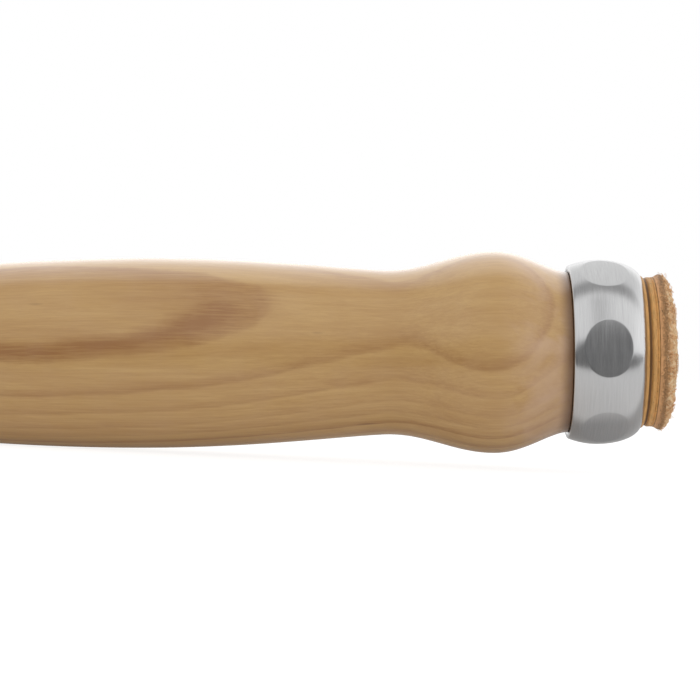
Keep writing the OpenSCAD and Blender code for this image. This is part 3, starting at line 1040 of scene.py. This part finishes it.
def scattered_points(tree, source):
    """Points on the torn part of the washer, crowded into tufts. Gives the scattering node."""
    x, _, _ = split(tree, here(tree))
    torn = tree.nodes.new("FunctionNodeCompare")
    torn.data_type = "FLOAT"
    torn.operation = "GREATER_THAN"
    link(tree, x, torn.inputs[0])
    link(tree, source["Frayed From"], torn.inputs[1])
    tufts = noise_at(tree, here(tree), scale=math_node(tree, "DIVIDE", 1.0, source["Clump Size"]))
    thick = range_of(tree, tufts, tuft_low, tuft_high, soft=True)
    scatter = tree.nodes.new("GeometryNodeDistributePointsOnFaces")
    link(tree, source["Geometry"], scatter.inputs["Mesh"])
    link(tree, torn.outputs[0], scatter.inputs["Selection"])
    link(tree, math_node(tree, "MULTIPLY", thick, source["Fibres per m2"]), scatter.inputs["Density"])
    link(tree, source["Seed"], scatter.inputs["Seed"])
    return scatter


def bent_fibre(tree, source):
    """A fibre of length 1: a three-sided tube that bends over and tapers to its tip."""
    bend = tree.nodes.new("GeometryNodeCurveQuadraticBezier")
    bend.inputs["Resolution"].default_value = 4
    for label, spot in (("Start", (0, 0, 0)), ("Middle", fibre_middle), ("End", fibre_end)):
        bend.inputs[label].default_value = spot
    along = tree.nodes.new("GeometryNodeSplineParameter").outputs["Factor"]
    taper = tree.nodes.new("GeometryNodeSetCurveRadius")
    link(tree, bend.outputs[0], taper.inputs["Curve"])
    link(tree, math_node(tree, "SUBTRACT", 1.15, along), taper.inputs["Radius"])
    section = tree.nodes.new("GeometryNodeCurvePrimitiveCircle")
    section.inputs["Resolution"].default_value = 3
    relative = math_node(tree, "DIVIDE", source["Thickness"], source["Length"])
    link(tree, relative, section.inputs["Radius"])
    tube = tree.nodes.new("GeometryNodeCurveToMesh")
    link(tree, taper.outputs[0], tube.inputs["Curve"])
    link(tree, section.outputs[0], tube.inputs["Profile Curve"])
    tube.inputs["Fill Caps"].default_value = True
    return tube.outputs[0]


# %% The fraying tree
def make_fraying_tree():
    tree, identifiers, source, result = new_modifier_tree("fraying", [
        ("Fibres per m2", "value", 1.0e6), ("Length", "value", 0.0008),
        ("Thickness", "value", 0.00004), ("Clump Size", "value", 0.0015),
        ("Frayed From", "value", 0.0), ("Limit", "value", 0.0), ("Seed", "count", 3),
        ("Material", "material", None)])
    scatter = scattered_points(tree, source)
    plant = tree.nodes.new("GeometryNodeInstanceOnPoints")
    link(tree, scatter.outputs["Points"], plant.inputs["Points"])
    link(tree, bent_fibre(tree, source), plant.inputs["Instance"])
    turn = tree.nodes.new("FunctionNodeAxisAngleToRotation")
    turn.inputs["Axis"].default_value = (0, 0, 1)
    link(tree, random_value(tree, source, 1, 0.0, math.tau), turn.inputs["Angle"])
    spin = tree.nodes.new("FunctionNodeRotateRotation")
    spin.rotation_space = "LOCAL"
    link(tree, scatter.outputs["Rotation"], spin.inputs["Rotation"])
    link(tree, turn.outputs[0], spin.inputs["Rotate By"])
    link(tree, spin.outputs[0], plant.inputs["Rotation"])
    unevenness = math_node(tree, "POWER", random_value(tree, source, 2, 0.35, 1.25), 1.6)
    link(tree, math_node(tree, "MULTIPLY", source["Length"], unevenness), plant.inputs["Scale"])

    real = tree.nodes.new("GeometryNodeRealizeInstances")
    link(tree, plant.outputs[0], real.inputs["Geometry"])
    x, y, z = split(tree, here(tree))
    held = join(tree, math_node(tree, "MINIMUM", x, source["Limit"]), y, z)
    keep = tree.nodes.new("GeometryNodeSetPosition")
    link(tree, real.outputs[0], keep.inputs["Geometry"])
    link(tree, held, keep.inputs["Position"])
    end_tree(tree, keep.outputs[0], source, result)
    return tree, identifiers


fraying, fraying_inputs = make_fraying_tree()
print("fraying tree:", len(fraying.nodes), "nodes")

# %% Grow the fibres
def make_fibre_material():
    material, tree, shader = new_material("torn fibres")
    point = in_millimetres(tree)
    grey = noise_at(tree, point, scale=3.0, detail=3.0)
    colour = ramp_of(tree, grey, [(0.30, (0.60, 0.28, 0.09)), (0.46, (0.86, 0.50, 0.23)),
                                  (0.62, (1.0, 0.76, 0.47))])
    link(tree, colour, shader["Base Color"])
    link(tree, range_of(tree, grey, 0.3, 0.7, 0.75, 0.95), shader["Roughness"])
    shader["Sheen Weight"].default_value = 0.2
    relief(tree, shader, [(place_group(tree, fibres, Point=point, Length=0.8, Width=0.05)["Fibres"],
                           0.02)])
    return material


torn_fibres = make_fibre_material()
fraying_start = middle_front + 0.40 * outer_length


def fray(name, per_square_mm, length, thickness, clump, seed):
    """Grows fibres on the beaten washer, and keeps them as a piece of their own."""
    piece = add_object(name, outer_pad.data.copy())
    run_tree(piece, fraying, fraying_inputs,
             {"Fibres per m2": per_square_mm / MM**2, "Length": length, "Thickness": thickness,
              "Clump Size": clump, "Frayed From": fraying_start, "Limit": outer_front,
              "Seed": seed, "Material": torn_fibres})
    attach(piece, BODY)
    print(f"{name}: {len(piece.data.polygons)} faces")


fray("frayed_nap", per_square_mm=17.0, length=0.66 * MM, thickness=0.05 * MM, clump=1.9 * MM, seed=3)
fray("frayed_strays", per_square_mm=0.22, length=1.9 * MM, thickness=0.045 * MM, clump=4 * MM,
     seed=11)

# %% [markdown]
# ## Ferrule and buffer
#
# The ferrule is a short tube with broken edges. The buffer is a leather disc that has been squeezed
# by the bolster for years, so its edge bulges a little between the steel on both sides.

# %% Turn the ferrule and the buffer
ferrule_radius = reach("ferrule")
ferrule_bore = bore("ferrule")
ferrule_outline = rounded([
    (ferrule_front + 1 * MM, ferrule_bore), (ferrule_front, ferrule_bore),
    (ferrule_front, ferrule_radius), (grip_front, ferrule_radius), (grip_front, ferrule_bore),
    (ferrule_front + 1 * MM, ferrule_bore)], 0.35 * MM, 5)
ferrule_piece = turn_piece("ferrule_turned", filled_in(ferrule_outline, 1 * MM), ferrule_steel)
hand_over(ferrule_piece, "ferrule")

buffer_radius = reach("buffer_washer")
tang_hole = 6.2 * MM
bulge = 0.25 * MM
buffer_edge = [(bolster_back + (ferrule_front - bolster_back) * t,
                buffer_radius - bulge * (2 * t - 1) ** 2 - 0.35 * MM * abs(2 * t - 1) ** 8)
               for t in np.linspace(0, 1, 16)]
buffer_outline = ([(ferrule_front, tang_hole), (bolster_back, tang_hole)] + buffer_edge
                  + [(ferrule_front, tang_hole)])
buffer_piece = turn_piece("buffer_leather_disc", buffer_outline, buffer_leather)
roughened(buffer_piece, 0.06 * MM, 3 * MM, 10 * MM)
hand_over(buffer_piece, "buffer_washer")

# %% [markdown]
# ## The blade
#
# The blade is one forging. Behind the edge it is a trough: an arc of steel with its back upwards.
# Over the flare the trough closes into a round shank, then comes the bolster, and a square tang
# goes into the wood. Such a shape has no easy primitive. It is a loft: rings of points across the
# steel, one behind the other, each a mix of a trough section and a round one, joined by faces.
#
# The rule is the CAD model's own, with finer steps and with soft corners along the two long
# edges, so light runs along them. The section's sizes stand here by name. The places along the
# tool come from the frame.

# %% Sizes of the blade
sweep_outside = 22.0 * MM
blade_wall = 3.5 * MM
back_rise = 6.0 * MM
width_at_root, width_at_edge = 29.0 * MM, 36.0 * MM
shank_length, flare_length = 34.0 * MM, 52.0 * MM
shank_radius, shank_gain = 6.0 * MM, 1.2 * MM
bevel_angle = math.radians(22)
edge_wall = 0.15 * MM
corner_soft = 0.45 * MM
side_facet = math.radians(10)
steps_across = 30
bolster_thick = 5.5 * MM

bolster_front = bolster_back - bolster_thick
blade_length = bolster_front - edge_x
bevel_length = blade_wall / math.tan(bevel_angle)
print(f"blade {blade_length / MM:.0f} mm from bolster to edge, bevel {bevel_length / MM:.1f} mm")


# %% Rings of the blade
def eased(t):
    t = min(1.0, max(0.0, t))
    return t * t * (3 - 2 * t)


def trough_ring(width, wall):
    """Points round the trough's section, as (y, z): the back, one edge, the hollow, the other edge."""
    inside = sweep_outside - blade_wall
    outside = inside + wall
    middle = back_rise - sweep_outside
    half = math.asin(width / 2 / sweep_outside)
    soft = min(corner_soft, wall * 0.45)

    def on_arc(radius, angle):
        return radius * math.sin(angle), middle + radius * math.cos(angle)

    back_half, hollow_half = half - soft / outside, half - soft / inside
    back = [on_arc(outside, a) for a in np.linspace(back_half, -back_half, steps_across)]
    hollow = [on_arc(inside, a) for a in np.linspace(-hollow_half, hollow_half, steps_across)]
    left = rounded([back[-1], on_arc(outside, -half), on_arc(inside, -half), hollow[0]], soft)[1:-1]
    right = rounded([hollow[-1], on_arc(inside, half), on_arc(outside, half), back[0]], soft)[1:-1]
    return back + left + hollow + right


def round_ring(radius):
    """As many points round the shank's circle, from the same four stretches."""
    at_side = len(trough_ring(width_at_root, blade_wall)) // 2 - steps_across
    stretches = [(side_facet, math.pi - side_facet, steps_across),
                 (math.pi - side_facet, math.pi + side_facet, at_side + 2),
                 (math.pi + side_facet, math.tau - side_facet, steps_across),
                 (math.tau - side_facet, math.tau + side_facet, at_side + 2)]
    ring = []
    for start, stop, count in stretches:
        angles = np.linspace(start, stop, count)
        if count != steps_across:
            angles = angles[1:-1]
        ring += [(radius * math.cos(a), radius * math.sin(a)) for a in angles]
    return ring


def blade_ring(s):
    """Points round the blade at distance s ahead of the bolster."""
    flare = eased((s - shank_length) / flare_length)
    radius = shank_radius + shank_gain * (1 - eased(s / shank_length))
    open_share = max(0.0, s - shank_length) / (blade_length - shank_length)
    width = width_at_root + (width_at_edge - width_at_root) * open_share
    wall = max(edge_wall, blade_wall * min(1.0, (blade_length - s) / bevel_length))
    return [(bolster_front - s, a[0] + (b[0] - a[0]) * flare, a[1] + (b[1] - a[1]) * flare)
            for a, b in zip(round_ring(radius), trough_ring(width, wall))]


# %% Loft the blade
def loft_faces(ring_count, ring_size):
    """The faces that join each ring of points to the next one."""
    return [(j * ring_size + k, j * ring_size + (k + 1) % ring_size,
             (j + 1) * ring_size + (k + 1) % ring_size, (j + 1) * ring_size + k)
            for j in range(ring_count - 1) for k in range(ring_size)]


hammer_marks = 0.07 * MM
bevel_start = blade_length - bevel_length
stations = np.concatenate([np.linspace(-bolster_thick / 2, shank_length, 30),
                           np.linspace(shank_length, shank_length + flare_length, 50)[1:],
                           np.linspace(shank_length + flare_length, bevel_start, 45)[1:],
                           [bevel_start + 0.15 * MM],
                           np.linspace(bevel_start, blade_length, 14)[1:]])
rings = [blade_ring(s) for s in sorted(stations)]
for s, ring in zip(sorted(stations), rings):
    forged = 1 - eased((s - shank_length) / (flare_length * 1.2))
    for i, spot in enumerate(ring):
        outward = Vector((0, spot[1], spot[2])).normalized()
        dent = noise.noise(Vector(spot) / (6 * MM)) * hammer_marks * forged
        ring[i] = Vector(spot) + outward * (dent - 0.3 * hammer_marks * forged)

blade_mesh = bpy.data.meshes.new("blade")
blade_mesh.from_pydata([p for ring in rings for p in ring], [],
                       loft_faces(len(rings), len(rings[0])))
bm = bmesh.new()
bm.from_mesh(blade_mesh)
bmesh.ops.holes_fill(bm, edges=[e for e in bm.edges if e.is_boundary], sides=0)
bmesh.ops.triangulate(bm, faces=[f for f in bm.faces if len(f.verts) > 4])
bm.to_mesh(blade_mesh)
bm.free()
face_outwards(blade_mesh)
print(f"blade loft: {len(rings)} rings, {len(blade_mesh.polygons)} faces")

# %% [markdown]
# The blade's steel changes along its length, and one material can carry that, because it knows
# where each point is. The forged shank keeps a thin dark scale in its hammer dents. The trough was
# ground lengthwise and lightly polished. The bevel is freshly honed: brighter and smoother than the
# rest, and smoothest over its last millimetre, where the stone has just been.

# %% Blade steel
scale_full, scale_gone = 46.0, 74.0       # forging scale ahead of the bolster, in millimetres
ground_dark, ground_bright = (0.44, 0.445, 0.45), (0.62, 0.625, 0.63)
turned_dark, turned_bright = (0.46, 0.46, 0.465), (0.62, 0.62, 0.62)
honed_tone, pit_tone = (0.68, 0.685, 0.69), (0.09, 0.08, 0.07)


def make_blade_steel():
    material, tree, shader = new_material("blade steel")
    point = in_millimetres(tree)
    x, _, _ = split(tree, point)
    edge, front = edge_x / MM, bolster_front / MM
    belt = place_group(tree, fibres, Point=point, Length=26.0, Width=0.20)["Fibres"]
    turned = place_group(tree, lathe_lines, Point=point, Lines_per_mm=6.0, Length=5.0)["Lines"]
    heat = place_group(tree, patches, Point=point, Size=12.0, Contrast=1.4)["Patches"]
    fine = place_group(tree, patches, Point=point, Size=1.1, Contrast=1.2)["Patches"]
    pits = place_group(tree, specks, Point=point, Spacing=1.6, Stretch=1.0, Size=0.16)["Specks"]

    on_bolster = range_of(tree, x, front - 0.6, front - 0.1)
    ragged = math_node(tree, "ADD", x, range_of(tree, heat, 0.3, 0.7, -9.0, 9.0))
    scale_share = range_of(tree, ragged, front - scale_gone, front - scale_full, soft=True)
    scale_share = math_node(tree, "MULTIPLY", scale_share,
                            math_node(tree, "SUBTRACT", 1.0, on_bolster))
    bevel = range_of(tree, x, edge + bevel_length / MM + 0.05, edge + bevel_length / MM - 0.05)
    honed = range_of(tree, x, edge + 1.1, edge + 0.8)

    ground = mix_of(tree, range_of(tree, belt, 0.32, 0.68), ground_dark, ground_bright)
    brushed = mix_of(tree, range_of(tree, turned, 0.3, 0.7), turned_dark, turned_bright)
    ground = mix_of(tree, on_bolster, ground, brushed)
    scale = ramp_of(tree, fine, [(0.3, (0.13, 0.13, 0.14)), (0.5, (0.19, 0.185, 0.18)),
                                 (0.7, (0.28, 0.265, 0.25))])
    colour = mix_of(tree, math_node(tree, "MULTIPLY", scale_share, 0.9), ground, scale)
    colour = mix_of(tree, math_node(tree, "MULTIPLY", pits, 0.35), colour, pit_tone)
    colour = mix_of(tree, bevel, colour, honed_tone)
    link(tree, colour, shader["Base Color"])
    shader["Metallic"].default_value = 1.0
    rough = range_of(tree, belt, 0.3, 0.7, 0.22, 0.33)
    rough = math_node(tree, "ADD", rough, math_node(tree, "MULTIPLY", scale_share, 0.22))
    rough = math_node(tree, "SUBTRACT", rough, math_node(tree, "MULTIPLY", bevel, 0.08))
    rough = math_node(tree, "SUBTRACT", rough, math_node(tree, "MULTIPLY", honed, 0.08))
    link(tree, rough, shader["Roughness"])
    relief(tree, shader, [(math_node(tree, "MULTIPLY", fine, scale_share), 0.10), (belt, 0.010)])
    return material


blade_steel = make_blade_steel()

# %% [markdown]
# The bolster is turned, with a chamfer on both edges and a cove that runs out into the shank. The
# tang is a square taper with worn corners. Both are made as meshes of their own and then joined
# with the loft into one piece, because they are one forging.

# %% Turn the bolster
bolster_radius = 12.5 * MM
bolster_chamfer = 0.7 * MM
cove = 5.0 * MM
cove_foot = shank_radius + shank_gain - 0.3 * MM
cove_arc = [(bolster_front - cove + cove * math.cos(a), cove_foot + cove - cove * math.sin(a))
            for a in np.linspace(0, math.pi / 2, 24)]
bolster_outline = ([(bolster_front - cove, 0.0)] + cove_arc[::-1]
                   + rounded([cove_arc[0], (bolster_front, bolster_radius - bolster_chamfer),
                              (bolster_front + bolster_chamfer, bolster_radius),
                              (bolster_back - bolster_chamfer, bolster_radius),
                              (bolster_back, bolster_radius - bolster_chamfer),
                              (bolster_back, 0.0)], 0.25 * MM, 5)[1:])
bolster = turn_piece("bolster", filled_in(bolster_outline, 1.5 * MM), blade_steel)

# %% Draw out the tang
tang_end = -91.0 * MM
tang_root = bolster_back - bolster_thick / 2      # it starts inside the bolster
tang_half_root, tang_half_tip = 4.5 * MM, 2.0 * MM
tang_worn = 0.5 * MM


def tang_ring(t):
    """The tang's square at share t of its length, with worn corners."""
    half = tang_half_root + (tang_half_tip - tang_half_root) * t
    square = rounded([(0, -half), (half, -half), (half, half), (-half, half), (-half, -half),
                      (0, -half)], tang_worn, 4)[:-1]
    return [(tang_root + (tang_end - tang_root) * t, y, z) for y, z in square]


tang_rings = [tang_ring(t) for t in np.linspace(0, 1, 24)]
sides = len(tang_rings[0])
last_corner = len(tang_rings) * sides - 1
caps = [tuple(range(sides)), tuple(last_corner - k for k in range(sides))]
tang_mesh = bpy.data.meshes.new("tang")
tang_mesh.from_pydata([p for ring in tang_rings for p in ring], [],
                      loft_faces(len(tang_rings), sides) + caps)
face_outwards(tang_mesh)
print(f"tang {(tang_end - tang_root) / MM:.0f} mm long, {len(tang_mesh.polygons)} faces")

# %% Join the forging
blade_mesh.materials.append(blade_steel)
bm = bmesh.new()
for mesh in (blade_mesh, bolster.data, tang_mesh):
    bm.from_mesh(mesh)
for bmface in bm.faces:
    bmface.smooth = True
    bmface.material_index = 0
bm.to_mesh(blade_mesh)
bm.free()
bpy.data.objects.remove(bolster)
blade_mesh.set_sharp_from_angle(angle=math.radians(28))
blade = add_object("blade_forged", blade_mesh)
hand_over(blade, "gouge_blade")

# %% [markdown]
# ## Studio
#
# Polished and brushed metal shows what stands round it, so the studio is drawn before the rest is
# judged. A grey sky from below to above would do for the wood alone. The hoop needs the real
# layout: a bright screen in front, a darker gap overhead and a bright screen behind. `screens` gives
# it as angles up from the front, in degrees, with a brightness each. It is the same from every
# viewpoint, because it hangs on the world's directions and not on the camera.
#
# Three things break this even ring. The walls past the two ends of the tool are of unequal
# brightness. The camera stands in the front screen as a wide dark patch, a little tilted. Over it
# hangs a narrow grey strip, which is the stand. A flat on the hoop mirrors the patch, and the
# brushed crown spreads the strip into a soft vertical shade.

# %% Screens and end walls
screens = [(-180, 0.80), (-120, 0.50), (-90, 0.55), (-40, 0.85), (0, 0.98), (52, 1.0), (75, 1.03),
           (84, 0.46), (96, 0.38), (106, 0.90), (135, 0.94), (156, 1.25), (180, 1.0)]
light_past_blade, light_past_pad = 0.76, 1.24


def ring_of_screens(tree, x, turn):
    share = math_node(tree, "ADD", math_node(tree, "DIVIDE", turn, math.tau), 0.5)
    round_the_tool = ramp_of(tree, share, [(angle / 360 + 0.5, grey) for angle, grey in screens])
    towards_ends = range_of(tree, math_node(tree, "ABSOLUTE", x), 0.45, 0.95, soft=True)
    walls = range_of(tree, x, -0.95, 0.95, light_past_blade, light_past_pad)
    return mix_of(tree, towards_ends, round_the_tool, walls)


# %% The camera and its stand, as the steel sees them
strip_tone, strip_strength = (0.45, 0.45, 0.45), 0.46
strip_inner, strip_outer = 0.04, 0.30             # half widths, as parts of a direction of length 1
strip_foot, strip_head = (0.35, 0.60), (1.15, 1.40)    # radians up from the front
patch_tone, patch_strength = (0.16, 0.16, 0.162), 0.96
patch_x, patch_z, patch_tilt = -0.20, 0.02, 0.20
patch_half_width, patch_half_height = 0.72, 0.40


def with_stand(tree, light, x, turn):
    strip = range_of(tree, math_node(tree, "ABSOLUTE", x), strip_inner, strip_outer,
                     strip_strength, 0.0, soft=True)
    foot = range_of(tree, turn, *strip_foot, 0.0, 1.0, soft=True)
    head = range_of(tree, turn, *strip_head, 1.0, 0.0, soft=True)
    strip = math_node(tree, "MULTIPLY", math_node(tree, "MULTIPLY", strip, foot), head)
    return mix_of(tree, strip, light, strip_tone)


def with_camera(tree, light, x, y, z):
    across = math_node(tree, "DIVIDE", math_node(tree, "SUBTRACT", x, patch_x), patch_half_width)
    rise = math_node(tree, "SUBTRACT", z, math_node(tree, "MULTIPLY_ADD", x, patch_tilt, patch_z))
    up = math_node(tree, "DIVIDE", rise, patch_half_height)
    off_centre = vector_node(tree, "LENGTH", join(tree, across, up, 0.0))
    dark = range_of(tree, off_centre, 0.62, 1.0, patch_strength, 0.0, soft=True)
    in_front = math_node(tree, "LESS_THAN", y, 0.0)
    return mix_of(tree, math_node(tree, "MULTIPLY", dark, in_front), light, patch_tone)


# %% World
def make_world():
    world = bpy.data.worlds.new("studio")
    bpy.context.scene.world = world
    world.use_nodes = True
    tree = world.node_tree
    tree.nodes.clear()
    x, y, z = split(tree, tree.nodes.new("ShaderNodeTexCoord").outputs["Generated"])
    turn = math_node(tree, "ARCTAN2", z, math_node(tree, "MULTIPLY", y, -1.0))
    light = with_stand(tree, ring_of_screens(tree, x, turn), x, turn)
    light = with_camera(tree, light, x, y, z)
    seen = tree.nodes.new("ShaderNodeLightPath").outputs["Is Camera Ray"]
    light = mix_of(tree, seen, light, (1.0, 1.0, 1.0))
    background = tree.nodes.new("ShaderNodeBackground")
    link(tree, light, background.inputs["Color"])
    background.inputs["Strength"].default_value = 1.0
    link(tree, background.outputs[0], tree.nodes.new("ShaderNodeOutputWorld").inputs["Surface"])
    print("studio:", len(screens), "stops round the tool,", len(tree.nodes), "nodes")


make_world()
bpy.context.scene.view_settings.view_transform = "Standard"

# %% [markdown]
# The lacquer has a highlight along its upper back that asks for a brighter light than the steel can
# bear. So a long soft light hangs behind and above the tool, and light linking lets it shine on the
# grip only.

# %% Rim light
def hang_strip_light(name, angle, spread, distance, length, power):
    """A long soft light over the tool. Angles are in degrees up from the front."""
    data = bpy.data.lights.new(name, "AREA")
    data.shape = "RECTANGLE"
    data.size = length
    data.size_y = 2 * distance * math.tan(math.radians(spread))
    data.energy = power
    lamp = bpy.data.objects.new(name, data)
    bpy.context.scene.collection.objects.link(lamp)
    middle = Vector((view_middle, 0, 0))
    turn = math.radians(angle)
    lamp.location = middle + distance * Vector((0, -math.cos(turn), math.sin(turn)))
    lamp.rotation_euler = (middle - lamp.location).to_track_quat("-Z", "Y").to_euler()
    return lamp


rim_light = hang_strip_light("rim light", angle=134, spread=36, distance=0.6, length=0.9, power=1.6)
rim_light.data.color = (0.94, 0.96, 1.0)
lit = bpy.data.collections.new("lit by the rim light")
bpy.context.scene.collection.children.link(lit)
lit.objects.link(grip)
rim_light.light_linking.receiver_collection = lit

# %% [markdown]
# The floor is plain and pale. It lies under the tool as a table would: the tool touches it with its
# barrel and with the two corners of its cutting edge. The paper glows a little, so that it stays
# white and keeps only a faint shadow.
#
# Brushed steel shows the floor too, and there a plain white sheet looks wrong: the lower flats and
# the underside of the hoop would be as bright as its front. So the material asks the Light Path
# node what kind of ray has arrived, and paints the floor that the steel mirrors. Mirrored rays see
# a painted shadow, a dim sheet behind the tool's front side, and a painted dark band further
# forward, though the floor goes on there. The camera sees plain paper.

# %% Lay the floor
edge_z = min(z for x, y, z in corners("gouge_blade") if x < edge_x + 1e-6)
wood_points = corners("grip")
slopes = (wood_points[:, 2] - edge_z) / (wood_points[:, 0] - edge_x)
floor_slope = float(slopes.min())
print(f"floor falls {-floor_slope * 100:.1f} mm in 100 mm under the tool")

floor_size = 3.0
floor_mesh = bpy.data.meshes.new("floor")
ends_x = (edge_x - floor_size / 2, edge_x + floor_size)
floor_mesh.from_pydata([(x, y, edge_z + floor_slope * (x - edge_x)) for x, y in (
    (ends_x[0], -floor_size), (ends_x[1], -floor_size), (ends_x[1], floor_size),
    (ends_x[0], floor_size))], [], [(0, 1, 2, 3)])
floor = add_object("floor", floor_mesh)

# %% Paper
painted_dark_edge = (-75.0, -60.0)                 # mirrored rays see a painted dark band in front of this, paper behind it; along Y in mm
shade_edge = (-13.0, -6.0)                 # lit paper in front of this, shaded paper behind it
seen_grey, bounce_grey, shaded_grey, painted_dark_grey = [
    (grey, grey, grey) for grey in (0.26, 0.55, 0.42, 0.20)]
lit_glow, shaded_glow, bounce_glow, seen_lift = 0.34, 0.13, 0.29, 0.56


def make_paper():
    material, tree, shader = new_material("paper floor")
    shader["Roughness"].default_value = 0.9
    shader["Specular IOR Level"].default_value = 0.1
    shader["Emission Color"].default_value = (1, 1, 1, 1)
    ray = tree.nodes.new("ShaderNodeLightPath").outputs
    seen, mirrored = ray["Is Camera Ray"], ray["Is Glossy Ray"]
    _, y, _ = split(tree, in_millimetres(tree))
    # Painted reflection: mirrored rays see a painted shadow behind the tool's front side and a painted
    # dark band further forward.
    painted_dark_share = range_of(tree, y, *painted_dark_edge, 1.0, 0.0, soft=True)
    shaded = range_of(tree, y, *shade_edge, 0.0, 1.0, soft=True)
    base = mix_of(tree, seen, bounce_grey, seen_grey)
    base = mix_of(tree, math_node(tree, "MULTIPLY", shaded, mirrored), base, shaded_grey)
    base = mix_of(tree, math_node(tree, "MULTIPLY", painted_dark_share, mirrored), base, painted_dark_grey)
    link(tree, base, shader["Base Color"])

    mirrored_glow = math_node(tree, "MULTIPLY", range_of(tree, shaded, 0.0, 1.0, lit_glow, shaded_glow),
                              range_of(tree, painted_dark_share, 0.0, 1.0, 1.0, 0.0))
    glow = math_node(tree, "ADD", math_node(tree, "MULTIPLY", mirrored, mirrored_glow),
                     range_of(tree, mirrored, 0.0, 1.0, bounce_glow, 0.0))
    link(tree, math_node(tree, "MULTIPLY_ADD", seen, seen_lift, glow), shader["Emission Strength"])
    return material


floor_mesh.materials.append(make_paper())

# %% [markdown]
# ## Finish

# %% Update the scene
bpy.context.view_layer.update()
